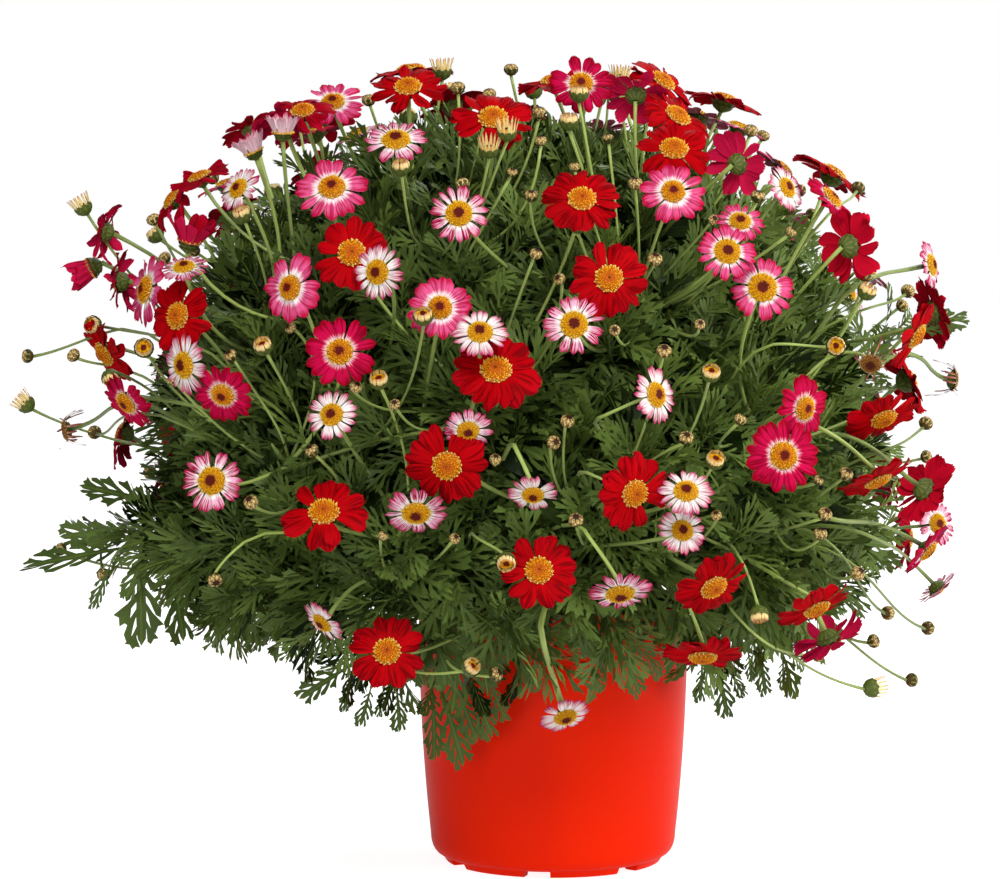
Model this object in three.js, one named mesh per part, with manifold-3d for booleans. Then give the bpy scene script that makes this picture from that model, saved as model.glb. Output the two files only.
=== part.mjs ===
// A marguerite daisy in a round plastic pot: pot, potting soil, woody stem, leafy shoots and flower sprays.
// Millimetres, +Z up. The pot's axis is Z, its foot stands on z = 0, and -Y is the side seen from the front.
import * as THREE from "three";
import { mergeVertices } from "three/addons/utils/BufferGeometryUtils.js";
import Module from "manifold-3d";

const wasm = await Module();
wasm.setup();

// Driving dimensions of the pot
const POT_HEIGHT = 168;
const POT_RIM_RADIUS = 86;
const POT_FLARE = 9.6;
const POT_FLARE_POWER = 2.2;
const POT_FOOT_RADIUS = 69;
const POT_FOOT_STEP = 3;
const POT_FOOT_HEIGHT = 4.5;
const POT_FOOT_WIDTH = 9;
const POT_WALL = 1.6;
const POT_FLOOR = 1.8;
const POT_BOSS_RADIUS = 14;
const POT_LIP = 1.2;
const POT_KNEE_HEIGHT = 12;
const POT_WAIST_HEIGHT = 70;
const POT_SIDES = 24;
const DRAIN_SLOTS = 7;
const DRAIN_SLOT_WIDTH = 16.5;
const DRAIN_SLOT_HEIGHT = 3.8;
const DRAIN_SLOT_TURN = -99;

// Driving dimensions of what the pot holds
const FIT_GAP = 0.3;
const CLEARANCE = 0.4;
const GROWTH_FOR_CLEARANCE = 1.03;
const SOIL_TOP = 154;
const SOIL_HEAP = 4;
const TRUNK_RADIUS = 8;
const STEM_HOLE_RADIUS = TRUNK_RADIUS + 0.6;
const TRUNK_FOOT = 112;
const CROWN_HEIGHT = 188;
const KNOT_RADIUS = 15;
const LIMB_REACH = 44;
const LIMB_RADIUS = 2.4;
const SHOOTS = 28;
const SHOOT_TURN_FROM = 10;
const SHOOT_TURN_TO = 108;
const SHOOT_SAG = 14;
const SHOOT_RADIUS = 1.9;
const SHOOT_SHARE = 0.8;
const TUFT_RADIUS = 42;
const LEAVES_PER_SHOOT = 4;
const LEAF_LENGTH = 66;
const LEAF_RIB = 0.8;
const LEAF_ATTEMPTS = 16;
const STALK_RADIUS = 0.95;
const STRAIGHT_STALK = 70;
const HUB_RADIUS = 3.0;
const HUB_LENGTH = 16;
const BUD_RADIUS = 4.6;
const OPENING_RADIUS = 6.5;

// The bush's outer surface: a rounded dome, wider than high, flatter below
const DOME = { x: -22, z: 262, reachX: 266, reachY: 256, up: 246, down: 165, power: 2.4, skirt: 150 };

// The front view in which the heads below are listed: eye and aim in mm, the rest in picture units
const EYE = new THREE.Vector3(-34, -2985, 567);
const AIM = new THREE.Vector3(-34, 0, 270);
const VIEW = { focal: 4710, centreX: 500, centreY: 439.5 };

// The five colours of bloom: petal count, disc size against the bloom, and least width in mm
const BLOOMS = {
  red: { spray: "red", petals: 10, disc: 0.34, least: 48 },
  crimson: { spray: "red", petals: 8, disc: 0.34, least: 42 },
  magenta: { spray: "pink", petals: 10, disc: 0.36, least: 40 },
  pink: { spray: "pink", petals: 8, disc: 0.44, least: 30 },
  faded: { spray: "pink", petals: 6, disc: 0.6, least: 22 },
};

// Blooms on the front, each at its place in the front view with the width and height that it shows there
const FRONT_BLOOMS = {
  red: [
    { x: 352, y: 253, wide: 81, high: 81 }, { x: 408, y: 88, wide: 74, high: 43 },
    { x: 493, y: 119, wide: 85, high: 59 }, { x: 554, y: 82, wide: 72, high: 25 },
    { x: 662, y: 82, wide: 60, high: 36 }, { x: 677, y: 117, wide: 62, high: 40 },
    { x: 674, y: 150, wide: 83, high: 58 }, { x: 582, y: 200, wide: 83, high: 65 },
    { x: 609, y: 279, wide: 82, high: 83 }, { x: 179, y: 316, wide: 59, high: 79 },
    { x: 106, y: 353, wide: 30, high: 40 }, { x: 496, y: 371, wide: 92, high: 74 },
    { x: 447, y: 465, wide: 88, high: 76 }, { x: 324, y: 513, wide: 90, high: 71 },
    { x: 634, y: 493, wide: 67, high: 76 }, { x: 539, y: 571, wide: 80, high: 82 },
    { x: 387, y: 652, wide: 67, high: 71 }, { x: 713, y: 586, wide: 65, high: 60 },
    { x: 703, y: 655, wide: 82, high: 49 }, { x: 883, y: 417, wide: 79, high: 48 },
    { x: 915, y: 335, wide: 50, high: 72 }, { x: 934, y: 312, wide: 20, high: 35 },
    { x: 877, y: 479, wide: 77, high: 33 }, { x: 925, y: 490, wide: 69, high: 45, away: true },
    { x: 816, y: 607, wide: 70, high: 58 }, { x: 850, y: 246, wide: 42, high: 53, away: true },
  ],
  crimson: [
    { x: 105, y: 232, wide: 28, high: 52, away: true }, { x: 93, y: 267, wide: 25, high: 30, away: true },
    { x: 120, y: 282, wide: 25, high: 50, away: true }, { x: 173, y: 200, wide: 32, high: 56 },
    { x: 200, y: 178, wide: 42, high: 60 }, { x: 284, y: 120, wide: 50, high: 26, away: true },
    { x: 303, y: 112, wide: 50, high: 26 }, { x: 189, y: 243, wide: 50, high: 44, away: true },
    { x: 636, y: 95, wide: 46, high: 36, away: true }, { x: 738, y: 164, wide: 45, high: 55, away: true },
    { x: 829, y: 640, wide: 79, high: 40 },
  ],
  magenta: [
    { x: 333, y: 103, wide: 66, high: 44 }, { x: 332, y: 188, wide: 76, high: 62 },
    { x: 147, y: 290, wide: 34, high: 77 }, { x: 127, y: 402, wide: 44, high: 58 },
    { x: 223, y: 394, wide: 52, high: 58 }, { x: 340, y: 352, wide: 75, high: 73 },
    { x: 581, y: 84, wide: 51, high: 46 }, { x: 673, y: 192, wide: 57, high: 63 },
    { x: 824, y: 205, wide: 42, high: 54 }, { x: 804, y: 408, wide: 51, high: 65 },
    { x: 783, y: 456, wide: 78, high: 75 }, { x: 927, y: 550, wide: 40, high: 52 },
    { x: 291, y: 288, wide: 57, high: 72 }, { x: 440, y: 308, wide: 63, high: 62 },
  ],
  pink: [
    { x: 239, y: 189, wide: 36, high: 44 }, { x: 254, y: 153, wide: 34, high: 24 },
    { x: 283, y: 134, wide: 40, high: 20 }, { x: 184, y: 268, wide: 44, high: 38 },
    { x: 396, y: 141, wide: 65, high: 42 }, { x: 459, y: 214, wide: 61, high: 61 },
    { x: 378, y: 272, wide: 50, high: 58 }, { x: 480, y: 333, wide: 59, high: 47 },
    { x: 574, y: 325, wide: 63, high: 63 }, { x: 332, y: 415, wide: 50, high: 54 },
    { x: 185, y: 365, wide: 45, high: 62 }, { x: 212, y: 481, wide: 64, high: 64 },
    { x: 468, y: 430, wide: 46, high: 47 }, { x: 416, y: 512, wide: 65, high: 49 },
    { x: 533, y: 494, wide: 46, high: 36 }, { x: 655, y: 395, wide: 40, high: 59 },
    { x: 620, y: 592, wide: 67, high: 41 }, { x: 686, y: 492, wide: 57, high: 46 },
    { x: 682, y: 531, wide: 45, high: 41 }, { x: 740, y: 222, wide: 40, high: 30 },
    { x: 727, y: 252, wide: 56, high: 61 }, { x: 762, y: 288, wide: 66, high: 67 },
    { x: 786, y: 188, wide: 41, high: 47 }, { x: 930, y: 265, wide: 18, high: 50 },
    { x: 937, y: 524, wide: 25, high: 32 }, { x: 937, y: 588, wide: 45, high: 38 },
    { x: 565, y: 716, wide: 54, high: 35 }, { x: 323, y: 622, wide: 44, high: 46 },
  ],
  faded: [
    { x: 871, y: 363, wide: 32, high: 30 }, { x: 952, y: 380, wide: 30, high: 36 },
    { x: 67, y: 430, wide: 36, high: 30 },
  ],
};

// Buds on the front that are opening, and those still closed
const FRONT_OPENING = [
  { x: 83, y: 207 }, { x: 242, y: 214 }, { x: 442, y: 71 }, { x: 507, y: 132 }, { x: 489, y: 149 },
  { x: 579, y: 93 }, { x: 620, y: 78 }, { x: 401, y: 167 }, { x: 569, y: 121 }, { x: 578, y: 224 },
  { x: 423, y: 316 }, { x: 102, y: 327 }, { x: 111, y: 378 }, { x: 144, y: 348 }, { x: 263, y: 346 },
  { x: 26, y: 404 }, { x: 379, y: 380 }, { x: 506, y: 562 }, { x: 836, y: 346 }, { x: 867, y: 291 },
  { x: 711, y: 373 }, { x: 715, y: 460 }, { x: 759, y: 615 }, { x: 872, y: 688 }, { x: 471, y: 667 },
];
const FRONT_BUDS = [
  { x: 153, y: 219 }, { x: 458, y: 87 }, { x: 511, y: 69 }, { x: 539, y: 112 }, { x: 655, y: 259 },
  { x: 751, y: 130 }, { x: 858, y: 188 }, { x: 758, y: 196 }, { x: 908, y: 291 }, { x: 27, y: 356 },
  { x: 73, y: 355 }, { x: 85, y: 432 }, { x: 251, y: 502 }, { x: 60, y: 549 }, { x: 104, y: 575 },
  { x: 215, y: 580 }, { x: 576, y: 520 }, { x: 664, y: 351 }, { x: 846, y: 474 }, { x: 686, y: 438 },
  { x: 825, y: 514 }, { x: 858, y: 573 }, { x: 926, y: 423 }, { x: 888, y: 613 }, { x: 928, y: 628 },
  { x: 874, y: 641 }, { x: 912, y: 680 }, { x: 496, y: 674 },
];

// Heads on the back, which are placed by rule: how many, and where they may lie on a unit ball
const BACK_BLOOMS = 30;
const BACK_OPENING = 5;
const BACK_BUDS = 8;
const BACK_TOP = 0.97;
const BACK_SPAN = 1.45;
const BACK_ROUND = 97;
const BACK_EDGE = 0.12;

// Heads stand apart by a gap and are taken as this many times wider than deep; they are moved step by step
const HEAD_GAP = 3;
const HEAD_FLATNESS = 2.6;
const HEAD_STEP = 6;
const HEAD_STEPS = 14;

const GOLDEN_TURN = Math.PI * (3 - Math.sqrt(5));
const UP = new THREE.Vector3(0, 0, 1);
const CROWN = new THREE.Vector3(0, 0, CROWN_HEIGHT);

// A whole-number generator gives the same draws on every run
function drawFrom(seed) {
  let state = seed;
  return () => {
    state = (state * 16807) % 2147483647;
    return state / 2147483647;
  };
}

const plus = (p, direction, length) => p.clone().addScaledVector(direction, length);

// A shell of points and triangles; if its faces all point inwards, closing it turns them outwards
class Shell {
  constructor() {
    this.points = [];
    this.corners = [];
  }

  point(p) {
    this.points.push(p.x, p.y, p.z);
    return this.points.length / 3 - 1;
  }

  ring(points) {
    return points.map((p) => this.point(p));
  }

  face(a, b, c) {
    this.corners.push(a, b, c);
  }

  // Two rings of the same count, joined by a band
  band(lower, upper) {
    const count = lower.length;
    for (let i = 0; i < count; i += 1) {
      const j = (i + 1) % count;
      this.face(lower[i], lower[j], upper[j]);
      this.face(lower[i], upper[j], upper[i]);
    }
  }

  // A fan that closes a ring, facing along the ring's turning direction
  cap(ring) {
    for (let i = 1; i + 1 < ring.length; i += 1) {
      this.face(ring[0], ring[i], ring[i + 1]);
    }
  }

  close() {
    let volume = 0;
    const at = (i) => new THREE.Vector3().fromArray(this.points, 3 * i);
    for (let i = 0; i < this.corners.length; i += 3) {
      const [a, b, c] = this.corners.slice(i, i + 3).map(at);
      volume += a.dot(b.cross(c));
    }
    const corners = [...this.corners];
    if (volume < 0) {
      for (let i = 0; i < corners.length; i += 3) {
        [corners[i], corners[i + 1]] = [corners[i + 1], corners[i]];
      }
    }
    return solidOf(this.points, corners);
  }
}

function solidOf(points, corners) {
  return new wasm.Manifold(
    new wasm.Mesh({
      numProp: 3,
      vertProperties: Float32Array.from(points),
      triVerts: Uint32Array.from(corners),
    }),
  );
}

function solidFromGeometry(geometry) {
  geometry.deleteAttribute("normal");
  geometry.deleteAttribute("uv");
  const merged = mergeVertices(geometry);
  return solidOf(merged.attributes.position.array, merged.index.array);
}

// The outer shell of the largest body of a fused solid: loose scraps and sealed hollows go
function wholeBody(solid) {
  const { vertProperties, triVerts, numProp } = solid.getMesh();
  const home = Array.from({ length: vertProperties.length / numProp }, (_, i) => i);
  const rootOf = (i) => {
    let root = i;
    while (home[root] !== root) {
      home[root] = home[home[root]];
      root = home[root];
    }
    return root;
  };
  for (let i = 0; i < triVerts.length; i += 3) {
    home[rootOf(triVerts[i])] = rootOf(triVerts[i + 1]);
    home[rootOf(triVerts[i])] = rootOf(triVerts[i + 2]);
  }
  const shells = new Map();
  for (let i = 0; i < triVerts.length; i += 3) {
    const root = rootOf(triVerts[i]);
    shells.set(root, [...(shells.get(root) ?? []), triVerts[i], triVerts[i + 1], triVerts[i + 2]]);
  }
  if (shells.size === 1) {
    return solid;
  }
  const [largest] = [...shells.values()].sort((a, b) => b.length - a.length);
  const used = [...new Set(largest)];
  const place = new Map(used.map((corner, i) => [corner, i]));
  const points = used.flatMap((corner) => [...vertProperties.slice(corner * numProp, corner * numProp + 3)]);
  return solidOf(points, largest.map((corner) => place.get(corner)));
}

function meshOf(name, solid, material) {
  const { vertProperties, triVerts } = solid.getMesh();
  const geometry = new THREE.BufferGeometry();
  geometry.setAttribute("position", new THREE.BufferAttribute(vertProperties, 3));
  geometry.setIndex(new THREE.BufferAttribute(triVerts, 1));
  geometry.computeVertexNormals();
  const mesh = new THREE.Mesh(geometry, material);
  mesh.name = name;
  return mesh;
}

// The point of the front view's sight line that lies at a given depth
function onSightLine(view, depth) {
  const forward = AIM.clone().sub(EYE).normalize();
  const right = new THREE.Vector3(1, 0, 0);
  const up = right.clone().cross(forward);
  const sight = forward.multiplyScalar(VIEW.focal);
  sight.addScaledVector(right, view.x - VIEW.centreX).addScaledVector(up, VIEW.centreY - view.y);
  return plus(EYE, sight, (depth - EYE.y) / sight.y);
}

function domeDepth(p) {
  const across = Math.abs(p.x - DOME.x) / DOME.reachX;
  const rise = Math.abs(p.z - DOME.z) / (p.z > DOME.z ? DOME.up : DOME.down);
  const left = 1 - across ** DOME.power - rise ** DOME.power;
  const skirt = p.z < DOME.z ? DOME.skirt * Math.sqrt(Math.max(0, 1 - across * across)) : 0;
  return Math.max(skirt, left > 0 ? DOME.reachY * left ** (1 / DOME.power) : 0);
}

function domeNormal(p) {
  const reachZ = p.z > DOME.z ? DOME.up : DOME.down;
  const steepness = DOME.power - 1;
  const slope = (offset, reach) => (Math.sign(offset) * (Math.abs(offset) / reach) ** steepness) / reach;
  return new THREE.Vector3(
    slope(p.x - DOME.x, DOME.reachX), slope(p.y, DOME.reachY), slope(p.z - DOME.z, reachZ),
  ).normalize();
}

// A head on the front lies where its sight line meets the dome
function onFront(view) {
  let at = onSightLine(view, 0);
  for (let round = 0; round < 5; round += 1) {
    at = onSightLine(view, -domeDepth(at));
  }
  return at;
}

// A bloom's facing direction follows from how far its round outline is foreshortened
function facingOf(view, at) {
  const toEye = EYE.clone().sub(at).normalize();
  const sideways = new THREE.Vector3(1, 0, 0);
  const upward = toEye.clone().cross(sideways).normalize();
  const normal = domeNormal(at);
  const lean = new THREE.Vector3();
  const ratio = view.wide / view.high;
  if (ratio < 0.87) {
    lean.addScaledVector(sideways, Math.sign(normal.x)).addScaledVector(upward, 0.2);
  } else if (ratio > 1.15) {
    lean.addScaledVector(upward, 1).addScaledVector(sideways, 0.5 * normal.x);
  } else {
    lean.addScaledVector(sideways, normal.x).addScaledVector(upward, Math.abs(normal.z) + 0.2);
  }
  const shown = Math.min(ratio, 1 / ratio, 0.96);
  const facing = toEye.multiplyScalar(view.away ? -shown : shown);
  return facing.addScaledVector(lean.normalize(), Math.sqrt(1 - shown * shown)).normalize();
}

function frontHeads() {
  const scaleAt = (at) => EYE.distanceTo(at) / VIEW.focal;
  const heads = [];
  for (const [kind, views] of Object.entries(FRONT_BLOOMS)) {
    for (const view of views) {
      const at = onFront(view);
      const across = Math.max(BLOOMS[kind].least, Math.max(view.wide, view.high) * scaleAt(at));
      heads.push({ kind, at, view, radius: across / 2, facing: facingOf(view, at) });
    }
  }
  const small = (kind, radius) => (view) => {
    const at = onFront(view);
    heads.push({ kind, at, view, radius, facing: domeNormal(at).add(UP).normalize() });
  };
  FRONT_OPENING.forEach(small("opening", OPENING_RADIUS));
  FRONT_BUDS.forEach(small("bud", BUD_RADIUS));
  return heads;
}

// The back repeats the front's mix of heads, spread by the golden angle
function backHeads() {
  const draw = drawFrom(4109);
  const kinds = ["red", "pink", "magenta", "red", "pink", "crimson"];
  const total = BACK_BLOOMS + BACK_OPENING + BACK_BUDS;
  const heads = [];
  for (let i = 0; heads.length < total; i += 1) {
    const height = BACK_TOP - (BACK_SPAN * (i % BACK_ROUND)) / BACK_ROUND;
    const turn = GOLDEN_TURN * i + 0.4 * draw();
    const round = Math.sqrt(1 - height * height);
    const direction = new THREE.Vector3(round * Math.cos(turn), round * Math.sin(turn), height);
    if (direction.y < BACK_EDGE) {
      continue;
    }
    const count = heads.length;
    let kind = kinds[count % kinds.length];
    let radius = BLOOMS[kind].least * (0.5 + 0.08 * draw());
    if (count % 6 === 2 && count < 6 * BACK_OPENING) {
      [kind, radius] = ["opening", OPENING_RADIUS];
    } else if (count % 3 === 1) {
      [kind, radius] = ["bud", BUD_RADIUS];
    }
    const at = onDome(direction, 1);
    const facing = domeNormal(at).addScaledVector(UP, 0.35).normalize();
    heads.push({ kind, at, radius, facing });
  }
  return heads;
}

// The point of the dome, or of a smaller copy about its middle, in a given direction
function onDome(direction, share) {
  const reachZ = direction.z > 0 ? DOME.up : DOME.down;
  const along = ["x", "y", "z"].map((axis) => Math.abs(direction[axis]) ** DOME.power);
  const size = share / (along[0] + along[1] + along[2]) ** (1 / DOME.power);
  const reach = new THREE.Vector3(DOME.reachX, DOME.reachY, reachZ);
  return new THREE.Vector3(DOME.x, 0, DOME.z).addScaledVector(reach.multiply(direction), size);
}

// Heads keep clear of each other: a later one moves along its sight line, or outward, until it is free
function spreadHeads(heads) {
  const placed = [];
  for (const head of heads) {
    const steps = [0];
    for (let k = 1; k <= HEAD_STEPS; k += 1) {
      steps.push(HEAD_STEP * k, -HEAD_STEP * k);
    }
    const line = head.view ? EYE.clone().sub(head.at).normalize() : domeNormal(head.at);
    const home = head.at;
    const free = steps.find((step) => {
      head.at = plus(home, line, step);
      return placed.every((other) => roomBetween(head, other) > 1);
    });
    head.at = plus(home, line, free ?? 0);
    placed.push(head);
  }
  return placed;
}

// How far two round, flat heads lie apart, against the distance at which they would touch
function roomBetween(a, b) {
  const reach = a.radius + b.radius + HEAD_GAP;
  const between = b.at.clone().sub(a.at);
  if (between.length() > reach) {
    return 2;
  }
  const height = Math.max(Math.abs(between.dot(a.facing)), Math.abs(between.dot(b.facing)));
  const flat = Math.sqrt(Math.max(0, between.lengthSq() - height * height));
  return Math.hypot(flat, height * HEAD_FLATNESS) / reach;
}

// The pot: one turned profile from the foot's boss up the outside, over the rim and down inside
function potRadius(z) {
  const rise = Math.min(1, z / POT_HEIGHT);
  return POT_RIM_RADIUS - POT_FLARE * (1 - rise) ** POT_FLARE_POWER;
}

function potSolid() {
  const floor = POT_FOOT_HEIGHT + POT_FLOOR;
  const heights = [POT_KNEE_HEIGHT, POT_WAIST_HEIGHT, POT_HEIGHT - POT_LIP];
  const outside = heights.map((z) => [potRadius(z), z]);
  const inside = heights.toReversed().map((z) => [potRadius(z) - POT_WALL, z]);
  const ringInside = POT_FOOT_RADIUS - POT_FOOT_WIDTH;
  const profile = [
    [0, 0], [POT_BOSS_RADIUS, 0], [POT_BOSS_RADIUS + 2, POT_FOOT_HEIGHT],
    [ringInside - 2, POT_FOOT_HEIGHT], [ringInside, 0], [POT_FOOT_RADIUS, 0],
    [POT_FOOT_RADIUS, POT_FOOT_HEIGHT], [POT_FOOT_RADIUS + POT_FOOT_STEP, POT_FOOT_HEIGHT],
    ...outside, [POT_RIM_RADIUS - POT_WALL / 2, POT_HEIGHT],
    ...inside, [POT_FOOT_RADIUS + 1, floor], [0, floor],
  ];
  const turned = new THREE.LatheGeometry(profile.map(([r, z]) => new THREE.Vector2(r, z)), POT_SIDES);
  let pot = solidFromGeometry(turned.rotateX(Math.PI / 2));
  for (let i = 0; i < DRAIN_SLOTS; i += 1) {
    const turn = THREE.MathUtils.degToRad(DRAIN_SLOT_TURN + (360 * i) / DRAIN_SLOTS);
    const slot = new THREE.BoxGeometry(POT_FOOT_WIDTH + 12, DRAIN_SLOT_WIDTH, 2 * DRAIN_SLOT_HEIGHT);
    slot.translate(POT_FOOT_RADIUS - POT_FOOT_WIDTH / 2, 0, 0).rotateZ(turn);
    pot = pot.subtract(solidFromGeometry(slot));
  }
  return wholeBody(pot);
}

// The soil fills the pot inside, with a low heap round a plain hole for the stem
function soilSolid() {
  const bottom = POT_FOOT_HEIGHT + POT_FLOOR + FIT_GAP;
  const edge = SOIL_TOP - SOIL_HEAP;
  const inner = (z) => potRadius(z) - POT_WALL - FIT_GAP;
  const profile = [
    [0, bottom], [POT_FOOT_RADIUS - 1, bottom], [inner(POT_KNEE_HEIGHT) - 0.6, POT_KNEE_HEIGHT + 1],
    [inner(POT_WAIST_HEIGHT) - 0.2, POT_WAIST_HEIGHT], [inner(edge) - 0.4, edge], [48, SOIL_TOP],
    [STEM_HOLE_RADIUS, SOIL_TOP], [STEM_HOLE_RADIUS, TRUNK_FOOT - FIT_GAP], [0, TRUNK_FOOT - FIT_GAP],
  ];
  const turned = new THREE.LatheGeometry(profile.map(([r, z]) => new THREE.Vector2(r, z)), POT_SIDES);
  turned.rotateX(Math.PI / 2);
  const places = turned.attributes.position;
  for (let i = 0; i < places.count; i += 1) {
    const [x, y, z] = [places.getX(i), places.getY(i), places.getZ(i)];
    if (z > edge + 1 && Math.hypot(x, y) > STEM_HOLE_RADIUS + 1) {
      places.setZ(i, z + 1.6 * Math.sin(0.19 * x + 1) * Math.cos(0.23 * y));
    }
  }
  return solidFromGeometry(turned);
}

// A ring of points round a path, carried along without twist
function ringRound(at, tangent, side, radius, sides) {
  const u = side.clone().addScaledVector(tangent, -side.dot(tangent)).normalize();
  const v = tangent.clone().cross(u);
  return Array.from({ length: sides }, (_, k) => {
    const turn = (2 * Math.PI * k) / sides;
    return plus(plus(at, u, radius * Math.cos(turn)), v, radius * Math.sin(turn));
  });
}

// A closed tube through stations, each with its place, direction and radius
function loft(stations, sides) {
  const shell = new Shell();
  const side = stations[0].tangent.clone().cross(new THREE.Vector3(0.31, 0.52, 0.79));
  const rings = stations.map(({ at, tangent, radius }) => (
    shell.ring(ringRound(at, tangent, side, radius, sides))
  ));
  for (let k = 0; k + 1 < rings.length; k += 1) {
    shell.band(rings[k], rings[k + 1]);
  }
  shell.cap([...rings[0]].reverse());
  shell.cap(rings.at(-1));
  return shell.close();
}

function tubeSolid(curve, radii, sides) {
  const stations = radii.map((radius, k) => {
    const share = k / (radii.length - 1);
    return { at: curve.getPoint(share), tangent: curve.getTangent(share), radius };
  });
  return loft(stations, sides);
}

// The shoots leave the crown in all directions, alternately with a red and a pink spray
function layShoots() {
  const highest = Math.cos(THREE.MathUtils.degToRad(SHOOT_TURN_FROM));
  const lowest = Math.cos(THREE.MathUtils.degToRad(SHOOT_TURN_TO));
  return Array.from({ length: SHOOTS }, (_, i) => {
    const height = highest - ((highest - lowest) * (i + 0.3)) / SHOOTS;
    const round = Math.sqrt(1 - height * height);
    const turn = GOLDEN_TURN * i + 0.9;
    const direction = new THREE.Vector3(round * Math.cos(turn), round * Math.sin(turn), height);
    const surface = onDome(direction, 1);
    const end = CROWN.clone().lerp(surface, SHOOT_SHARE);
    end.z -= SHOOT_SAG * round;
    const outward = end.clone().sub(CROWN).normalize();
    const aim = outward.clone().multiplyScalar(0.8).addScaledVector(UP, 0.55).normalize();
    const start = plus(CROWN, outward.clone().addScaledVector(UP, 0.25).normalize(), LIMB_REACH);
    const length = start.distanceTo(end);
    const lift = end.clone().sub(start).normalize().addScaledVector(UP, 0.2).normalize();
    const [first, second] = [plus(start, lift, length * 0.35), plus(end, aim, -length * 0.3)];
    const curve = new THREE.CubicBezierCurve3(start, first, second, end);
    const leaves = LEAVES_PER_SHOOT + (i % 4 === 1 ? 1 : 0);
    const colour = i % 2 ? "pink" : "red";
    return { colour, end, aim, start, curve, leaving: curve.getTangent(0), leaves, heads: [] };
  });
}

// Each head goes to the shoot of its colour whose tip points nearest to it
function shareHeads(heads, shoots) {
  for (const head of heads) {
    const colour = BLOOMS[head.kind]?.spray;
    const cost = (shoot) => {
      const ahead = head.at.clone().sub(shoot.end).dot(shoot.aim);
      const behind = Math.max(0, 24 - ahead);
      return head.at.distanceTo(plus(shoot.end, shoot.aim, 50)) + 2.5 * shoot.heads.length + 5 * behind;
    };
    const fitting = shoots.filter((shoot) => !colour || shoot.colour === colour);
    head.choices = fitting.sort((a, b) => cost(a) - cost(b)).slice(0, 8);
    head.choices[0].heads.push(head);
  }
}

// A head's stalk leaves the spray's axis sideways, turns up and comes to the head from behind
function stalkCurve(head, shoot, bend) {
  const neck = plus(head.at, head.facing, -neckDepth(head));
  const base = plus(shoot.end, shoot.aim, FIT_GAP);
  const swing = neck.clone().sub(base).angleTo(shoot.aim) / (0.6 * Math.PI);
  const share = THREE.MathUtils.clamp(1 - swing + bend[2], 0.1, 0.93);
  const root = plus(base, shoot.aim, HUB_LENGTH * share);
  const toNeck = neck.clone().sub(root);
  const length = toNeck.length();
  const outward = toNeck.clone().addScaledVector(shoot.aim, -toNeck.dot(shoot.aim)).normalize();
  const across = outward.clone().cross(shoot.aim);
  const lead = outward.clone().multiplyScalar(0.78).addScaledVector(shoot.aim, 0.62);
  const first = plus(root, lead.addScaledVector(across, bend[0]), length * 0.3);
  const second = plus(neck, head.facing, -Math.min(length * 0.4, 45));
  second.addScaledVector(across, length * bend[1]);
  second.z -= Math.min(length * 0.12, 14);
  return new THREE.CubicBezierCurve3(root, first, second, neck);
}

function neckDepth(head) {
  return BLOOMS[head.kind] ? head.radius * 0.3 : head.radius * 0.9;
}

// The rings of a head in its own frame, from the outline up, and how they are joined
function headOutline(head, grow) {
  const outline = [];
  const crest = [];
  const radius = head.radius * grow;
  if (!BLOOMS[head.kind]) {
    for (let i = 0; i < 5; i += 1) {
      outline.push([radius, (2 * Math.PI * i) / 5, 0]);
    }
    return { outline, crest, top: radius * 0.75 };
  }
  const { petals, disc } = BLOOMS[head.kind];
  const pitch = (2 * Math.PI) / petals;
  for (let i = 0; i < petals; i += 1) {
    const turn = pitch * i;
    const length = radius * (0.93 + 0.07 * Math.cos(5.1 * i + head.radius));
    if (i % 2 === 0) {
      crest.push([radius * disc, turn, radius * 0.1]);
    }
    outline.push([radius * 0.62, turn, radius * 0.02], [length, turn + 0.5 * pitch, 0]);
  }
  return { outline, crest, top: radius * (disc * 0.35 + 0.1) };
}

// One head with its stalk, as a single closed shell
function flowerSolid(head, curve, segments, margin) {
  const grow = margin ? GROWTH_FOR_CLEARANCE : 1;
  const stalk = STALK_RADIUS + margin;
  const side = head.facing.clone().cross(new THREE.Vector3(0.62, 0.48, 0.62));
  const u = side.addScaledVector(head.facing, -side.dot(head.facing)).normalize();
  const v = head.facing.clone().cross(u);
  const place = ([radius, turn, height]) => {
    const flat = plus(plus(head.at, u, radius * Math.cos(turn)), v, radius * Math.sin(turn));
    return flat.addScaledVector(head.facing, height);
  };
  const shape = headOutline(head, grow);
  const shell = new Shell();
  const outline = shell.ring(shape.outline.map(place));
  const crest = shell.ring(shape.crest.map(place));
  const top = shell.point(plus(head.at, head.facing, shape.top + margin));
  const count = outline.length;
  if (crest.length === 0) {
    outline.forEach((corner, i) => shell.face(corner, outline[(i + 1) % count], top));
  }
  crest.forEach((corner, i) => {
    const next = crest[(i + 1) % crest.length];
    const stretch = count / crest.length;
    const half = Math.floor(stretch / 2);
    const rim = Array.from({ length: stretch + 1 }, (_, k) => outline[(i * stretch + k) % count]);
    shell.face(corner, next, top);
    shell.face(corner, rim[half], next);
    for (let k = 0; k < stretch; k += 1) {
      shell.face(k < half ? corner : next, rim[k], rim[k + 1]);
    }
  });
  // The stalk is three-sided; its first ring is the neck that the head's underside closes on
  const rings = [];
  for (let k = 0; k <= segments; k += 1) {
    const share = 1 - k / segments;
    const tangent = k === 0 ? head.facing : curve.getTangent(share);
    rings.push(shell.ring(ringRound(curve.getPoint(share), tangent, u, stalk, 3)));
  }
  const neckOf = (i) => Math.floor((3 * i) / count + 0.5) % 3;
  for (let i = 0; i < count; i += 1) {
    const j = (i + 1) % count;
    const [here, there] = [neckOf(i), neckOf(j)];
    shell.face(outline[j], outline[i], rings[0][here]);
    if (here !== there) {
      shell.face(outline[j], rings[0][here], rings[0][there]);
    }
  }
  for (let k = 0; k < segments; k += 1) {
    shell.band(rings[k + 1], rings[k]);
  }
  shell.cap([...rings[segments]].reverse());
  return shell.close();
}

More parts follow.
